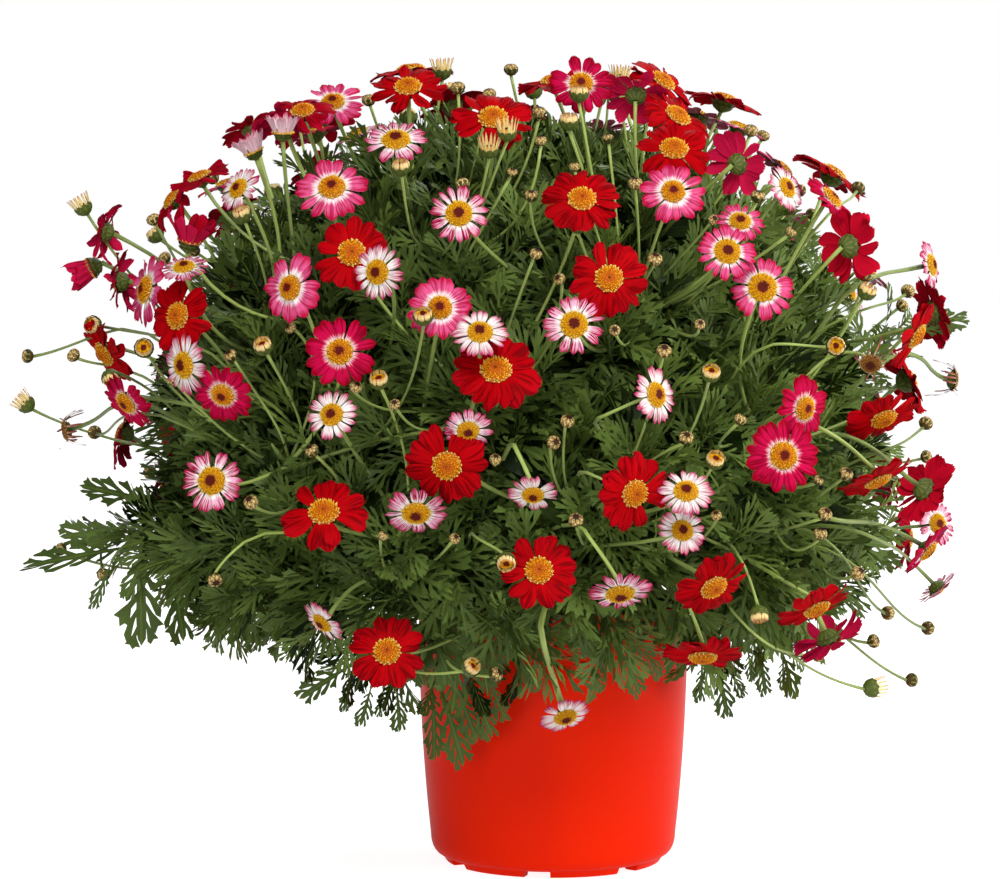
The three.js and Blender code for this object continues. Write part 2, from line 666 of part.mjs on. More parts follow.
// A leaf: bare and narrow at its foot, cut into lobes further out, thickest at mid-rib and arched over
const LEAF_EDGE = [[0.36, 0.025], [0.6, 0.2], [0.58, 0.045], [0.86, 0.19], [0.8, 0.05]];
const LEAF_FOOT = 0.025;

function leafSolid({ at, along, normal, length, bend }, margin) {
  const side = along.clone().cross(normal).normalize();
  const over = side.clone().cross(along).normalize();
  const grow = margin ? GROWTH_FOR_CLEARANCE : 1;
  const place = (x, y, height) => {
    const drop = length * bend * (x * x + 0.9 * Math.abs(y));
    return plus(plus(plus(at, along, length * x * grow), side, length * y * grow), over, height - drop);
  };
  const shell = new Shell();
  const right = LEAF_EDGE.map(([x, y]) => place(x, y, 0));
  const left = LEAF_EDGE.map(([x, y]) => place(x, -y, 0)).reverse();
  const rim = shell.ring([
    place(0, LEAF_FOOT, 0), ...right, place(1, 0, 0), ...left, place(0, -LEAF_FOOT, 0),
  ]);
  const above = shell.point(place(0.54, 0, LEAF_RIB + margin));
  const below = shell.point(place(0.54, 0, -LEAF_RIB - margin));
  rim.forEach((corner, i) => {
    const next = rim[(i + 1) % rim.length];
    shell.face(corner, next, above);
    shell.face(next, corner, below);
  });
  return shell.close();
}

// Everything placed so far, so that what comes later can be bent clear of it
const placed = [];

function boxOf(solid) {
  const { min, max } = solid.boundingBox();
  return new THREE.Box3(new THREE.Vector3(...min), new THREE.Vector3(...max));
}

const apart = (a, b) => a.intersect(b).isEmpty();

// A piece clears other nodes altogether; in its own node only heads and stalks keep clear of each other
function isClear(solid, node, head) {
  const box = boxOf(solid);
  return placed.every((item) => {
    if (!item.box.intersectsBox(box)) {
      return true;
    }
    if (item.node !== node) {
      return apart(solid, item.solid);
    }
    return !head || !item.head || (apart(solid, item.head) && apart(head, item.solid));
  });
}

function keep(solid, node, head) {
  placed.push({ solid, node, head, box: boxOf(solid) });
  return solid;
}

const numbered = (stem, i) => `${stem}_${String(i + 1).padStart(2, "0")}`;

function woodSolid(shoots) {
  const trunk = new THREE.LineCurve3(new THREE.Vector3(0, 0, TRUNK_FOOT), CROWN);
  const knot = new THREE.IcosahedronGeometry(KNOT_RADIUS, 0).translate(0, 0, CROWN_HEIGHT);
  const pieces = [tubeSolid(trunk, [TRUNK_RADIUS, TRUNK_RADIUS * 0.9], 7), solidFromGeometry(knot)];
  for (const shoot of shoots) {
    const end = plus(shoot.start, shoot.leaving, -FIT_GAP);
    const limb = new THREE.QuadraticBezierCurve3(CROWN, plus(end, shoot.leaving, -LIMB_REACH * 0.5), end);
    pieces.push(tubeSolid(limb, [LIMB_RADIUS * 1.5, LIMB_RADIUS], 3));
  }
  return wholeBody(wasm.Manifold.union(pieces));
}

// How a stalk may be bent: its start and its end sideways, and its root up or down the spray's axis
const STALK_BENDS = [
  [0, 0, 0], [0.3, 0, 0.06], [-0.3, 0, -0.06], [0.2, 0.15, 0.12], [-0.2, -0.15, -0.12],
  [0.5, 0, 0], [-0.5, 0, 0], [0, 0.25, 0.1], [0, -0.25, -0.1], [0.8, 0.1, 0.2],
  [-0.8, -0.1, -0.2], [0.6, 0.35, 0], [-0.6, -0.35, 0],
];

// How far a head may be drawn out or in, in mm, where its own place is crowded
const HEAD_SHIFTS = [0, 6, -6, 12, -12, 20, -20];

// Each flower takes the first bend of its stalk that clears all other nodes, on its own shoot or a near one
function placeFlower(head, nodeOf) {
  for (const shoot of head.choices) {
    for (const bend of STALK_BENDS) {
      const curve = stalkCurve(head, shoot, bend);
      const segments = BLOOMS[head.kind] && curve.getLength() > STRAIGHT_STALK ? 2 : 1;
      const stub = new THREE.LineCurve3(curve.getPoint(0.8), curve.v3);
      const alone = flowerSolid(head, stub, 1, CLEARANCE);
      if (isClear(flowerSolid(head, curve, segments, CLEARANCE), nodeOf(shoot), alone)) {
        shoot.flowers.push(keep(flowerSolid(head, curve, segments, 0), nodeOf(shoot), alone));
        return true;
      }
    }
  }
  return false;
}

// A head whose place is crowded is drawn out or in until it has room
function seatFlower(head, nodeOf) {
  const home = head.at.clone();
  const outward = domeNormal(home);
  const seated = HEAD_SHIFTS.some((shift) => {
    head.at = plus(home, outward, shift);
    return placeFlower(head, nodeOf);
  });
  if (!seated) {
    throw new Error(`no room for a ${head.kind} head at ${home.toArray().map(Math.round)}`);
  }
}

// A shoot: a bare stem that swells into a faceted core of dense inner foliage, as wide as its room allows
const SHOOT_MARKS = [0, 0.2, 0.45, 0.7, 0.94, 1];
const SHOOT_SHAPE = [0, 0, 0.62, 1, 0.12, 0];

function shootSolid(shoot, radius, margin) {
  const stations = SHOOT_MARKS.map((share, k) => {
    const [at, tangent] = [shoot.curve.getPoint(share), shoot.curve.getTangent(share)];
    return { at, tangent, radius: SHOOT_RADIUS + radius * SHOOT_SHAPE[k] + margin };
  });
  return loft(stations, 4);
}

function placeShoot(shoot, node) {
  for (let radius = TUFT_RADIUS; radius > 4; radius -= 2) {
    if (isClear(shootSolid(shoot, radius, CLEARANCE), node)) {
      shoot.tuftRadius = radius;
      return keep(shootSolid(shoot, radius, 0), node);
    }
  }
  shoot.tuftRadius = 1;
  return keep(shootSolid(shoot, 1, 0), node);
}

// How far from the shoot's axis its foliage core reaches, a little under the flat sides of its section
function tuftReach(shoot, share) {
  const after = SHOOT_MARKS.findIndex((mark) => mark > share);
  const [from, to] = [SHOOT_MARKS[after - 1], SHOOT_MARKS[after]];
  const part = (share - from) / (to - from);
  const reach = THREE.MathUtils.lerp(SHOOT_SHAPE[after - 1], SHOOT_SHAPE[after], part);
  return 0.68 * shoot.tuftRadius * reach;
}

function placeLeaves(shoot, node, draw) {
  const leaves = [];
  for (let i = 0; i < shoot.leaves; i += 1) {
    const turnHome = GOLDEN_TURN * i + 6 * draw();
    for (let attempt = 0; attempt < LEAF_ATTEMPTS; attempt += 1) {
      const share = Math.min(0.96, 0.45 + (0.52 * (i + 0.8 * draw())) / shoot.leaves);
      const at = shoot.curve.getPoint(share);
      const tangent = shoot.curve.getTangent(share);
      const side = tangent.clone().cross(UP).normalize();
      const over = side.clone().cross(tangent);
      const turn = turnHome + 1.1 * attempt * (draw() - 0.5);
      const outward = side.multiplyScalar(Math.cos(turn)).addScaledVector(over, Math.sin(turn));
      at.addScaledVector(outward, tuftReach(shoot, share));
      const along = tangent.clone().multiplyScalar(0.4 + 0.4 * draw()).addScaledVector(outward, 0.9);
      const normal = over.clone().addScaledVector(outward, -0.4);
      const length = LEAF_LENGTH * (1.02 - 0.03 * attempt);
      const bend = 0.1 + 0.15 * draw();
      const leaf = { at, along: along.normalize(), normal: normal.normalize(), length, bend };
      if (isClear(leafSolid(leaf, CLEARANCE), node)) {
        leaves.push(keep(leafSolid(leaf, 0), node));
        break;
      }
    }
  }
  return leaves;
}

const material = (color, roughness) => new THREE.MeshStandardMaterial({ color, roughness, metalness: 0 });
const POT_PLASTIC = material(0xdc2410, 0.38);
const SOIL = material(0x3a2a1e, 0.95);
const BARK = material(0x6b5a3a, 0.9);
const LEAF_GREEN = material(0x3c6628, 0.6);
const PETALS = { red: material(0xc8040c, 0.55), pink: material(0xd8287a, 0.55) };

function daisy() {
  const group = new THREE.Group();
  const shoots = layShoots();
  const heads = spreadHeads([...frontHeads(), ...backHeads()]);
  shareHeads(heads, shoots);
  group.add(meshOf("pot", keep(potSolid(), "pot"), POT_PLASTIC));
  group.add(meshOf("potting_soil", keep(soilSolid(), "potting_soil"), SOIL));
  group.add(meshOf("woody_stem", keep(woodSolid(shoots), "woody_stem"), BARK));

  const shootName = (shoot) => numbered("leafy_shoot", shoots.indexOf(shoot));
  const sprayName = (shoot) => numbered(`flower_spray_${shoot.colour}`, shoots.indexOf(shoot));
  for (const shoot of shoots) {
    shoot.body = placeShoot(shoot, shootName(shoot));
    const hub = new THREE.LineCurve3(
      plus(shoot.end, shoot.aim, FIT_GAP), plus(shoot.end, shoot.aim, FIT_GAP + HUB_LENGTH),
    );
    shoot.flowers = [keep(tubeSolid(hub, [HUB_RADIUS, HUB_RADIUS * 0.9], 3), sprayName(shoot))];
  }
  heads.forEach((head) => seatFlower(head, sprayName));
  const draw = drawFrom(977);
  for (const shoot of shoots) {
    const leaves = placeLeaves(shoot, shootName(shoot), draw);
    const leafy = wholeBody(wasm.Manifold.union([shoot.body, ...leaves]));
    group.add(meshOf(shootName(shoot), leafy, LEAF_GREEN));
    const spray = wholeBody(wasm.Manifold.union(shoot.flowers));
    group.add(meshOf(sprayName(shoot), spray, PETALS[shoot.colour]));
  }
  return group;
}

export default daisy();
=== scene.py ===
# %% [markdown]
# # A potted marguerite daisy
#
# A marguerite is a small shrub that gardeners clip into a ball. Woody limbs carry green twigs,
# the twigs carry deeply cut leaves, and long bare stalks lift the flower heads just clear of them.
# This lesson dresses a plain solid model of such a plant with finer pieces, one kind at a time:
# first where everything sits, then leaves, stalks, flowers and buds, and last the pot and the light.

# %% Load the solid model
import math

import bpy
import numpy as np
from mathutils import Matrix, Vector, kdtree


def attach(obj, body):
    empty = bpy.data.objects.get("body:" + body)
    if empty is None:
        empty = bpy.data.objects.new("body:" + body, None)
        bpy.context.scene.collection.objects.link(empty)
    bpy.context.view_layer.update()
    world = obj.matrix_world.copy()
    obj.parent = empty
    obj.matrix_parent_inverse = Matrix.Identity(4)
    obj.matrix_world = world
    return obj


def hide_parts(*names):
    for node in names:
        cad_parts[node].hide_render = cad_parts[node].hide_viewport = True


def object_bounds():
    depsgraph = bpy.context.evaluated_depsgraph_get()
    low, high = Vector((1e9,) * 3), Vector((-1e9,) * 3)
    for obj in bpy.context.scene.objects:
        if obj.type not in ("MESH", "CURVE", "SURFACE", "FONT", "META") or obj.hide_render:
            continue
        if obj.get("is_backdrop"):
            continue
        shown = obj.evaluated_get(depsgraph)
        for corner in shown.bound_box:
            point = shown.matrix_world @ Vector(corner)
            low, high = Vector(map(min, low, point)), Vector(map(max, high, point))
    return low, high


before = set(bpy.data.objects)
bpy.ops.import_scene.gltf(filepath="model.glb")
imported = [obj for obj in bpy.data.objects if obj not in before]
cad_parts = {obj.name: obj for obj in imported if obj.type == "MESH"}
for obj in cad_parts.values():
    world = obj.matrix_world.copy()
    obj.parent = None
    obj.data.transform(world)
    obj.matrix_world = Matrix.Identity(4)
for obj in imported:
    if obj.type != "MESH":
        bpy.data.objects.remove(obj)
solid_box = [list(corner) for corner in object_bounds()]
MM = 0.001
print("solid pieces loaded:", len(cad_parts))

# %% [markdown]
# ## The camera
#
# A product photograph of a bush is taken from far off with a long lens, so that near and far
# flowers come out almost the same size. The camera stands three metres away, a little above the
# bush, and looks down by about six degrees. It is made first, because the flower heads below are
# listed by where they appear in its picture.

# %% Camera
EYE = np.array([-34.0, -2985.0, 567.0])
AIM = np.array([-34.0, 0.0, 270.0])
FOCAL = 4710.0
PICTURE_WIDTH = 1000.0
PICTURE_CENTRE = (500.0, 439.5)
SENSOR_WIDTH = 36.0


def make_camera():
    data = bpy.data.cameras.new("view")
    data.sensor_fit = "HORIZONTAL"
    data.sensor_width = SENSOR_WIDTH
    data.lens = FOCAL * SENSOR_WIDTH / PICTURE_WIDTH
    camera = bpy.data.objects.new("view", data)
    bpy.context.scene.collection.objects.link(camera)
    camera.location = EYE * MM
    camera.rotation_euler = Vector(AIM - EYE).to_track_quat("-Z", "Y").to_euler()
    bpy.context.scene.camera = camera
    return data.lens


print("lens in mm:", round(make_camera(), 1))

# %% [markdown]
# ## Vectors, seeded draws and a place in the picture
#
# Nothing in a plant is exactly regular, yet a model has to come out the same on every run. So all
# chance comes from generators with fixed seeds. The first one is a short whole-number rule that
# the solid model uses too, which lets both agree on where each head sits.

# %% Vectors and draws
UP = np.array([0.0, 0.0, 1.0])
GOLDEN_TURN = math.pi * (3 - math.sqrt(5))


def unit(v):
    return v / np.linalg.norm(v, axis=-1, keepdims=True)


class Draw:
    """Seeded draws between 0 and 1."""

    def __init__(self, seed):
        self.state = seed

    def __call__(self):
        self.state = self.state * 16807 % 2147483647
        return self.state / 2147483647


FORWARD = unit(AIM - EYE)
RIGHT = np.array([1.0, 0.0, 0.0])
VIEW_UP = np.cross(RIGHT, FORWARD)


def on_sight_line(x, y, depth):
    """The point behind a place of the picture that lies at a given depth."""
    sight = FORWARD * FOCAL + RIGHT * (x - PICTURE_CENTRE[0]) + VIEW_UP * (PICTURE_CENTRE[1] - y)
    return EYE + sight * ((depth - EYE[1]) / sight[1])


def in_picture(points):
    """Where points appear in the picture, and how far off they are."""
    offset = points - EYE
    far = offset @ FORWARD
    x = PICTURE_CENTRE[0] + FOCAL * (offset @ RIGHT) / far
    y = PICTURE_CENTRE[1] - FOCAL * (offset @ VIEW_UP) / far
    return x, y, far


# %% [markdown]
# ## The bush's outer surface
#
# The flower heads of a clipped marguerite lie on a dome. A superellipsoid describes it well: its
# power, a little above two, makes the shoulders fuller than a ball's. Below its widest part the
# dome draws in less at the front, where heads nod over the rim, which the skirt allows for.

# %% Dome
DOME_CENTRE = np.array([-22.0, 0.0, 262.0])
DOME_X, DOME_Y, DOME_UP, DOME_DOWN = 266.0, 256.0, 246.0, 165.0
DOME_POWER = 2.4
DOME_SKIRT = 150.0


def dome_reach(downward):
    return np.array([DOME_X, DOME_Y, DOME_DOWN if downward else DOME_UP])


def dome_depth(p):
    across = abs(p[0] - DOME_CENTRE[0]) / DOME_X
    rise = abs(p[2] - DOME_CENTRE[2]) / (DOME_UP if p[2] > DOME_CENTRE[2] else DOME_DOWN)
    left = 1 - across**DOME_POWER - rise**DOME_POWER
    skirt = DOME_SKIRT * math.sqrt(max(0.0, 1 - across * across)) if p[2] < DOME_CENTRE[2] else 0.0
    return max(skirt, DOME_Y * left ** (1 / DOME_POWER) if left > 0 else 0.0)


def dome_normal(p):
    offset = p - DOME_CENTRE
    reach = dome_reach(p[2] <= DOME_CENTRE[2])
    return unit(np.sign(offset) * (np.abs(offset) / reach) ** (DOME_POWER - 1) / reach)


def on_dome(direction, share):
    """The point of the dome, or of a smaller copy about its middle, in a given direction."""
    size = share / np.sum(np.abs(direction) ** DOME_POWER) ** (1 / DOME_POWER)
    return DOME_CENTRE + size * direction * dome_reach(direction[2] <= 0)


def on_front(x, y):
    at = on_sight_line(x, y, 0)
    for _ in range(5):
        at = on_sight_line(x, y, -dome_depth(at))
    return at


def ball_direction(height, turn):
    round_share = math.sqrt(1 - height * height)
    return np.array([round_share * math.cos(turn), round_share * math.sin(turn), height])


# %% [markdown]
# ## The flower heads
#
# Each head on the front is listed by its place in the picture and by the width and height that it
# shows there. A flower is round, so the ratio of the two tells how far it is turned away, and its
# place on the dome tells which way. Heads on the back follow a rule that spreads them evenly.

# %% Heads on the front
BLOOMS = {
    "red": {"spray": "red", "disc": 0.34, "least": 48},
    "crimson": {"spray": "red", "disc": 0.34, "least": 42},
    "magenta": {"spray": "pink", "disc": 0.36, "least": 40},
    "pink": {"spray": "pink", "disc": 0.44, "least": 30},
    "faded": {"spray": "pink", "disc": 0.6, "least": 22},
}
OPENING_RADIUS, BUD_RADIUS = 6.5, 4.6

# Each bloom: x, y, width, height, and whether it faces away
FRONT_BLOOMS = {
    "red": [
        (352, 253, 81, 81), (408, 88, 74, 43), (493, 119, 85, 59), (554, 82, 72, 25),
        (662, 82, 60, 36), (677, 117, 62, 40), (674, 150, 83, 58), (582, 200, 83, 65),
        (609, 279, 82, 83), (179, 316, 59, 79), (106, 353, 30, 40), (496, 371, 92, 74),
        (447, 465, 88, 76), (324, 513, 90, 71), (634, 493, 67, 76), (539, 571, 80, 82),
        (387, 652, 67, 71), (713, 586, 65, 60), (703, 655, 82, 49), (883, 417, 79, 48),
        (915, 335, 50, 72), (934, 312, 20, 35), (877, 479, 77, 33), (925, 490, 69, 45, True),
        (816, 607, 70, 58), (850, 246, 42, 53, True),
    ],
    "crimson": [
        (105, 232, 28, 52, True), (93, 267, 25, 30, True), (120, 282, 25, 50, True),
        (173, 200, 32, 56), (200, 178, 42, 60), (284, 120, 50, 26, True), (303, 112, 50, 26),
        (189, 243, 50, 44, True), (636, 95, 46, 36, True), (738, 164, 45, 55, True),
        (829, 640, 79, 40),
    ],
    "magenta": [
        (333, 103, 66, 44), (332, 188, 76, 62), (147, 290, 34, 77), (127, 402, 44, 58),
        (223, 394, 52, 58), (340, 352, 75, 73), (581, 84, 51, 46), (673, 192, 57, 63),
        (824, 205, 42, 54), (804, 408, 51, 65), (783, 456, 78, 75), (927, 550, 40, 52),
        (291, 288, 57, 72), (440, 308, 63, 62),
    ],
    "pink": [
        (239, 189, 36, 44), (254, 153, 34, 24), (283, 134, 40, 20), (184, 268, 44, 38),
        (396, 141, 65, 42), (459, 214, 61, 61), (378, 272, 50, 58), (480, 333, 59, 47),
        (574, 325, 63, 63), (332, 415, 50, 54), (185, 365, 45, 62), (212, 481, 64, 64),
        (468, 430, 46, 47), (416, 512, 65, 49), (533, 494, 46, 36), (655, 395, 40, 59),
        (620, 592, 67, 41), (686, 492, 57, 46), (682, 531, 45, 41), (740, 222, 40, 30),
        (727, 252, 56, 61), (762, 288, 66, 67), (786, 188, 41, 47), (930, 265, 18, 50),
        (937, 524, 25, 32), (937, 588, 45, 38), (565, 716, 54, 35), (323, 622, 44, 46),
    ],
    "faded": [(871, 363, 32, 30), (952, 380, 30, 36), (67, 430, 36, 30)],
}
FRONT_OPENING = [
    (83, 207), (242, 214), (442, 71), (507, 132), (489, 149), (579, 93), (620, 78), (401, 167),
    (569, 121), (578, 224), (423, 316), (102, 327), (111, 378), (144, 348), (263, 346), (26, 404),
    (379, 380), (506, 562), (836, 346), (867, 291), (711, 373), (715, 460), (759, 615), (872, 688),
    (471, 667),
]
FRONT_BUDS = [
    (153, 219), (458, 87), (511, 69), (539, 112), (655, 259), (751, 130), (858, 188), (758, 196),
    (908, 291), (27, 356), (73, 355), (85, 432), (251, 502), (60, 549), (104, 575), (215, 580),
    (576, 520), (664, 351), (846, 474), (686, 438), (825, 514), (858, 573), (926, 423), (888, 613),
    (928, 628), (874, 641), (912, 680), (496, 674),
]


# A head whose width is less than this share of its height is turned to a side, and one that is wider
# than the other share looks up or down; no head is taken to face the camera more than the last
TO_SIDE_BELOW, TO_TOP_ABOVE, FULL_FACE = 0.87, 1.15, 0.96
LEAN_UP, LEAN_ASIDE = 0.2, 0.5


def facing_of(view, at):
    """A bloom's facing direction, from how far its round outline is foreshortened."""
    wide, high = view[2], view[3]
    away = len(view) > 4
    to_eye = unit(EYE - at)
    upward = unit(np.cross(to_eye, RIGHT))
    normal = dome_normal(at)
    ratio = wide / high
    if ratio < TO_SIDE_BELOW:
        lean = RIGHT * np.sign(normal[0]) + upward * LEAN_UP
    elif ratio > TO_TOP_ABOVE:
        lean = upward + RIGHT * LEAN_ASIDE * normal[0]
    else:
        lean = RIGHT * normal[0] + upward * (abs(normal[2]) + LEAN_UP)
    shown = min(ratio, 1 / ratio, FULL_FACE)
    return unit(to_eye * (-shown if away else shown) + unit(lean) * math.sqrt(1 - shown * shown))


def front_heads():
    heads = []
    for kind, views in FRONT_BLOOMS.items():
        for view in views:
            at = on_front(view[0], view[1])
            shown = max(view[2], view[3]) * np.linalg.norm(EYE - at) / FOCAL
            radius = max(BLOOMS[kind]["least"], shown) / 2
            heads.append({"kind": kind, "at": at, "view": view, "radius": radius,
                          "facing": facing_of(view, at)})
    for kind, radius, views in (("opening", OPENING_RADIUS, FRONT_OPENING),
                                ("bud", BUD_RADIUS, FRONT_BUDS)):
        for x, y in views:
            at = on_front(x, y)
            heads.append({"kind": kind, "at": at, "view": (x, y), "radius": radius,
                          "facing": unit(dome_normal(at) + UP)})
    return heads


print("heads on the front:", len(front_heads()))

# %% Heads on the back
BACK_BLOOMS, BACK_OPENING, BACK_BUDS = 30, 5, 8
BACK_TOP, BACK_SPAN, BACK_ROUND, BACK_EDGE = 0.97, 1.45, 97, 0.12
BACK_KINDS = ["red", "pink", "magenta", "red", "pink", "crimson"]
BACK_TURN, BACK_SIZE, BACK_SIZE_SPREAD, BACK_RISE = 0.4, 0.5, 0.08, 0.35


def back_heads():
    draw = Draw(4109)
    total = BACK_BLOOMS + BACK_OPENING + BACK_BUDS
    heads = []
    i = 0
    while len(heads) < total:
        height = BACK_TOP - (BACK_SPAN * (i % BACK_ROUND)) / BACK_ROUND
        direction = ball_direction(height, GOLDEN_TURN * i + BACK_TURN * draw())
        i += 1
        if direction[1] < BACK_EDGE:
            continue
        count = len(heads)
        kind = BACK_KINDS[count % len(BACK_KINDS)]
        radius = BLOOMS[kind]["least"] * (BACK_SIZE + BACK_SIZE_SPREAD * draw())
        if count % 6 == 2 and count < 6 * BACK_OPENING:
            kind, radius = "opening", OPENING_RADIUS
        elif count % 3 == 1:
            kind, radius = "bud", BUD_RADIUS
        at = on_dome(direction, 1)
        heads.append({"kind": kind, "at": at, "view": None, "radius": radius,
                      "facing": unit(dome_normal(at) + UP * BACK_RISE)})
    return heads


# %% [markdown]
# Two heads can't share one place. As on the plant, where stalks grow until their heads are free,
# a head that would touch an earlier one moves along its line of sight, or outward at the back.
# A head counts as a flat, round thing, so two may lie close when one is behind the other.

# %% Spread the heads
HEAD_GAP, HEAD_FLATNESS, HEAD_STEP, HEAD_STEPS = 3, 2.6, 6, 14


def room_between(a, b):
    reach = a["radius"] + b["radius"] + HEAD_GAP
    between = b["at"] - a["at"]
    far = np.linalg.norm(between)
    if far > reach:
        return 2
    height = max(abs(between @ a["facing"]), abs(between @ b["facing"]))
    flat = math.sqrt(max(0.0, far * far - height * height))
    return math.hypot(flat, height * HEAD_FLATNESS) / reach


def spread_heads(heads):
    placed = []
    steps = [0] + [sign * HEAD_STEP * k for k in range(1, HEAD_STEPS + 1) for sign in (1, -1)]
    for head in heads:
        line = unit(EYE - head["at"]) if head["view"] else dome_normal(head["at"])
        home = head["at"]
        for step in steps:
            head["at"] = home + line * step
            if all(room_between(head, other) > 1 for other in placed):
                break
        else:
            head["at"] = home
        placed.append(head)
    return placed


heads = spread_heads(front_heads() + back_heads())
print("heads in all:", len(heads))

# %% [markdown]
# The solid model holds each head as a closed shell whose highest point sits on the head's own
# axis. Looking that point up tells which spray carries the head and how far it was drawn out to
# clear its neighbours, so the finer flower lands exactly where its solid is.

# %% Find each head in its solid
HEAD_SHIFTS = [0, 6, -6, 12, -12, 20, -20]
FOUND_WITHIN = 0.3
DISC_RISE, DISC_BASE, BUD_CREST = 0.35, 0.1, 0.75


def crest_of(head):
    """How high the top of a head stands over its middle."""
    if head["kind"] in BLOOMS:
        return head["radius"] * (BLOOMS[head["kind"]]["disc"] * DISC_RISE + DISC_BASE)
    return head["radius"] * BUD_CREST


def find_heads(heads):
    sprays = {name: node for name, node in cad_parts.items() if name.startswith("flower_spray")}
    owners = [name for name, node in sprays.items() for _ in node.data.vertices]
    tree = kdtree.KDTree(len(owners))
    index = 0
    for node in sprays.values():
        for vertex in node.data.vertices:
            tree.insert(vertex.co / MM, index)
            index += 1
    tree.balance()
    unfound = 0
    for head in heads:
        home = head["at"]
        outward = dome_normal(home)
        best = None
        for shift in HEAD_SHIFTS:
            at = home + outward * shift
            _, index, far = tree.find(Vector(at + head["facing"] * crest_of(head)))
            if best is None or far < best[0]:
                best = (far, at, owners[index])
        if best[0] > FOUND_WITHIN:
            unfound += 1
        head["at"], head["node"] = best[1], best[2]
    return unfound


print("heads not found in the solids:", find_heads(heads))

# %% [markdown]
# Not every head follows the rule above, which was made for heads that look up and out. Those at the
# sides look away and lean over with their own weight, and low ones nod. For these, the picture tells
# how far each faces the camera, the right and up, and the table sets it.

# %% Turn some heads
# A head's place in the picture: how far it faces the camera, the right and up
TURNED = {
    (565, 716): (0.62, 0.22, -0.74), (915, 335): (0.30, 0.80, -0.50), (934, 312): (-0.35, 0.85, 0.30),
    (883, 417): (0.55, 0.35, -0.75), (877, 479): (0.30, 0.40, -0.87), (925, 490): (-0.45, 0.70, -0.50),
    (816, 607): (0.42, 0.40, -0.80), (829, 640): (-0.25, 0.38, -0.89), (927, 550): (0.30, 0.72, -0.62),
    (937, 588): (-0.12, 0.62, -0.76), (952, 380): (-0.20, 0.95, -0.10), (871, 363): (0.70, -0.10, -0.50),
    (824, 205): (0.25, 0.72, 0.62), (786, 188): (0.55, 0.70, 0.35), (850, 246): (-0.70, 0.70, 0.10),
    (662, 82): (0.35, 0.55, 0.75), (677, 117): (0.45, 0.50, 0.74), (554, 82): (0.12, -0.15, 0.97),
    (283, 134): (0.08, 0.00, 0.98), (254, 153): (0.08, -0.40, 0.90), (239, 189): (0.60, -0.60, 0.45),
    (173, 200): (0.20, -0.78, 0.58), (200, 178): (0.15, -0.40, 0.90), (105, 232): (-0.30, -0.92, 0.20),
    (93, 267): (-0.10, -0.88, -0.45), (120, 282): (-0.35, -0.92, -0.10), (184, 268): (0.45, -0.15, 0.88),
    (127, 402): (0.55, -0.62, -0.52), (223, 394): (0.80, -0.30, -0.48), (185, 365): (0.66, -0.72, -0.10),
    (67, 430): (0.15, -0.97, -0.15), (323, 622): (0.50, -0.60, -0.62), (620, 592): (0.58, 0.10, -0.80),
    (713, 586): (0.65, 0.40, -0.62), (703, 655): (0.42, 0.02, -0.90), (634, 493): (0.84, 0.48, -0.25),
    (416, 512): (0.72, 0.00, -0.66), (533, 494): (0.70, 0.00, -0.70), (468, 430): (0.80, 0.00, -0.55),
    (447, 465): (0.93, -0.10, -0.35), (804, 408): (0.72, 0.65, -0.15), (378, 272): (0.85, -0.50, 0.00),
    (102, 327): (0.80, -0.55, 0.10), (215, 580): (0.80, 0.20, -0.55), (506, 562): (0.80, 0.05, -0.55),
    (836, 346): (0.90, 0.05, 0.10), (759, 615): (0.42, 0.12, -0.88), (104, 575): (0.62, 0.30, -0.70),
    (189, 243): (0.12, 0.22, 0.92), (144, 348): (0.92, -0.10, 0.20), (111, 378): (0.60, 0.10, -0.75),
    (106, 353): (0.42, -0.72, -0.50),
}


def place_of(head):
    """A front head's place in the picture, or nothing for the others."""
    return tuple(head["view"][:2]) if head["view"] else None


for head in heads:
    if place_of(head) in TURNED:
        toward, right, up = TURNED[place_of(head)]
        head["facing"] = unit(unit(EYE - head["at"]) * toward + RIGHT * right + UP * up)
print("heads turned:", sum(place_of(head) in TURNED for head in heads))

# %% [markdown]
# ## Shoots
#
# Twenty-eight main shoots leave the crown of the woody stem in all directions, spread by the
# golden angle as buds are on a real stem. Each is one smooth curve that starts where a limb ends
# and turns up towards the light. These are the same curves that the solids follow.

# %% Lay the shoots
SHOOTS = 28
CROWN = np.array([0.0, 0.0, 188.0])
SHOOT_HIGHEST, SHOOT_LOWEST = math.cos(math.radians(10)), math.cos(math.radians(108))
FIRST_SHOOT, FIRST_TURN = 0.3, 0.9
SHOOT_SHARE, SHOOT_SAG, SHOOT_RADIUS = 0.8, 14.0, 1.9
SHOOT_OUT, SHOOT_UP = 0.8, 0.55
LIMB_REACH, LIMB_LIFT, SHOOT_LIFT = 44.0, 0.25, 0.2
SHOOT_FOOT_PULL, SHOOT_TIP_PULL = 0.35, 0.3
HUB_LENGTH = 16.0
FIT_GAP = 0.3


def bezier(p0, p1, p2, p3, t):
    t = np.asarray(t, float)[:, None]
    s = 1 - t
    return s**3 * p0 + 3 * s * s * t * p1 + 3 * s * t * t * p2 + t**3 * p3


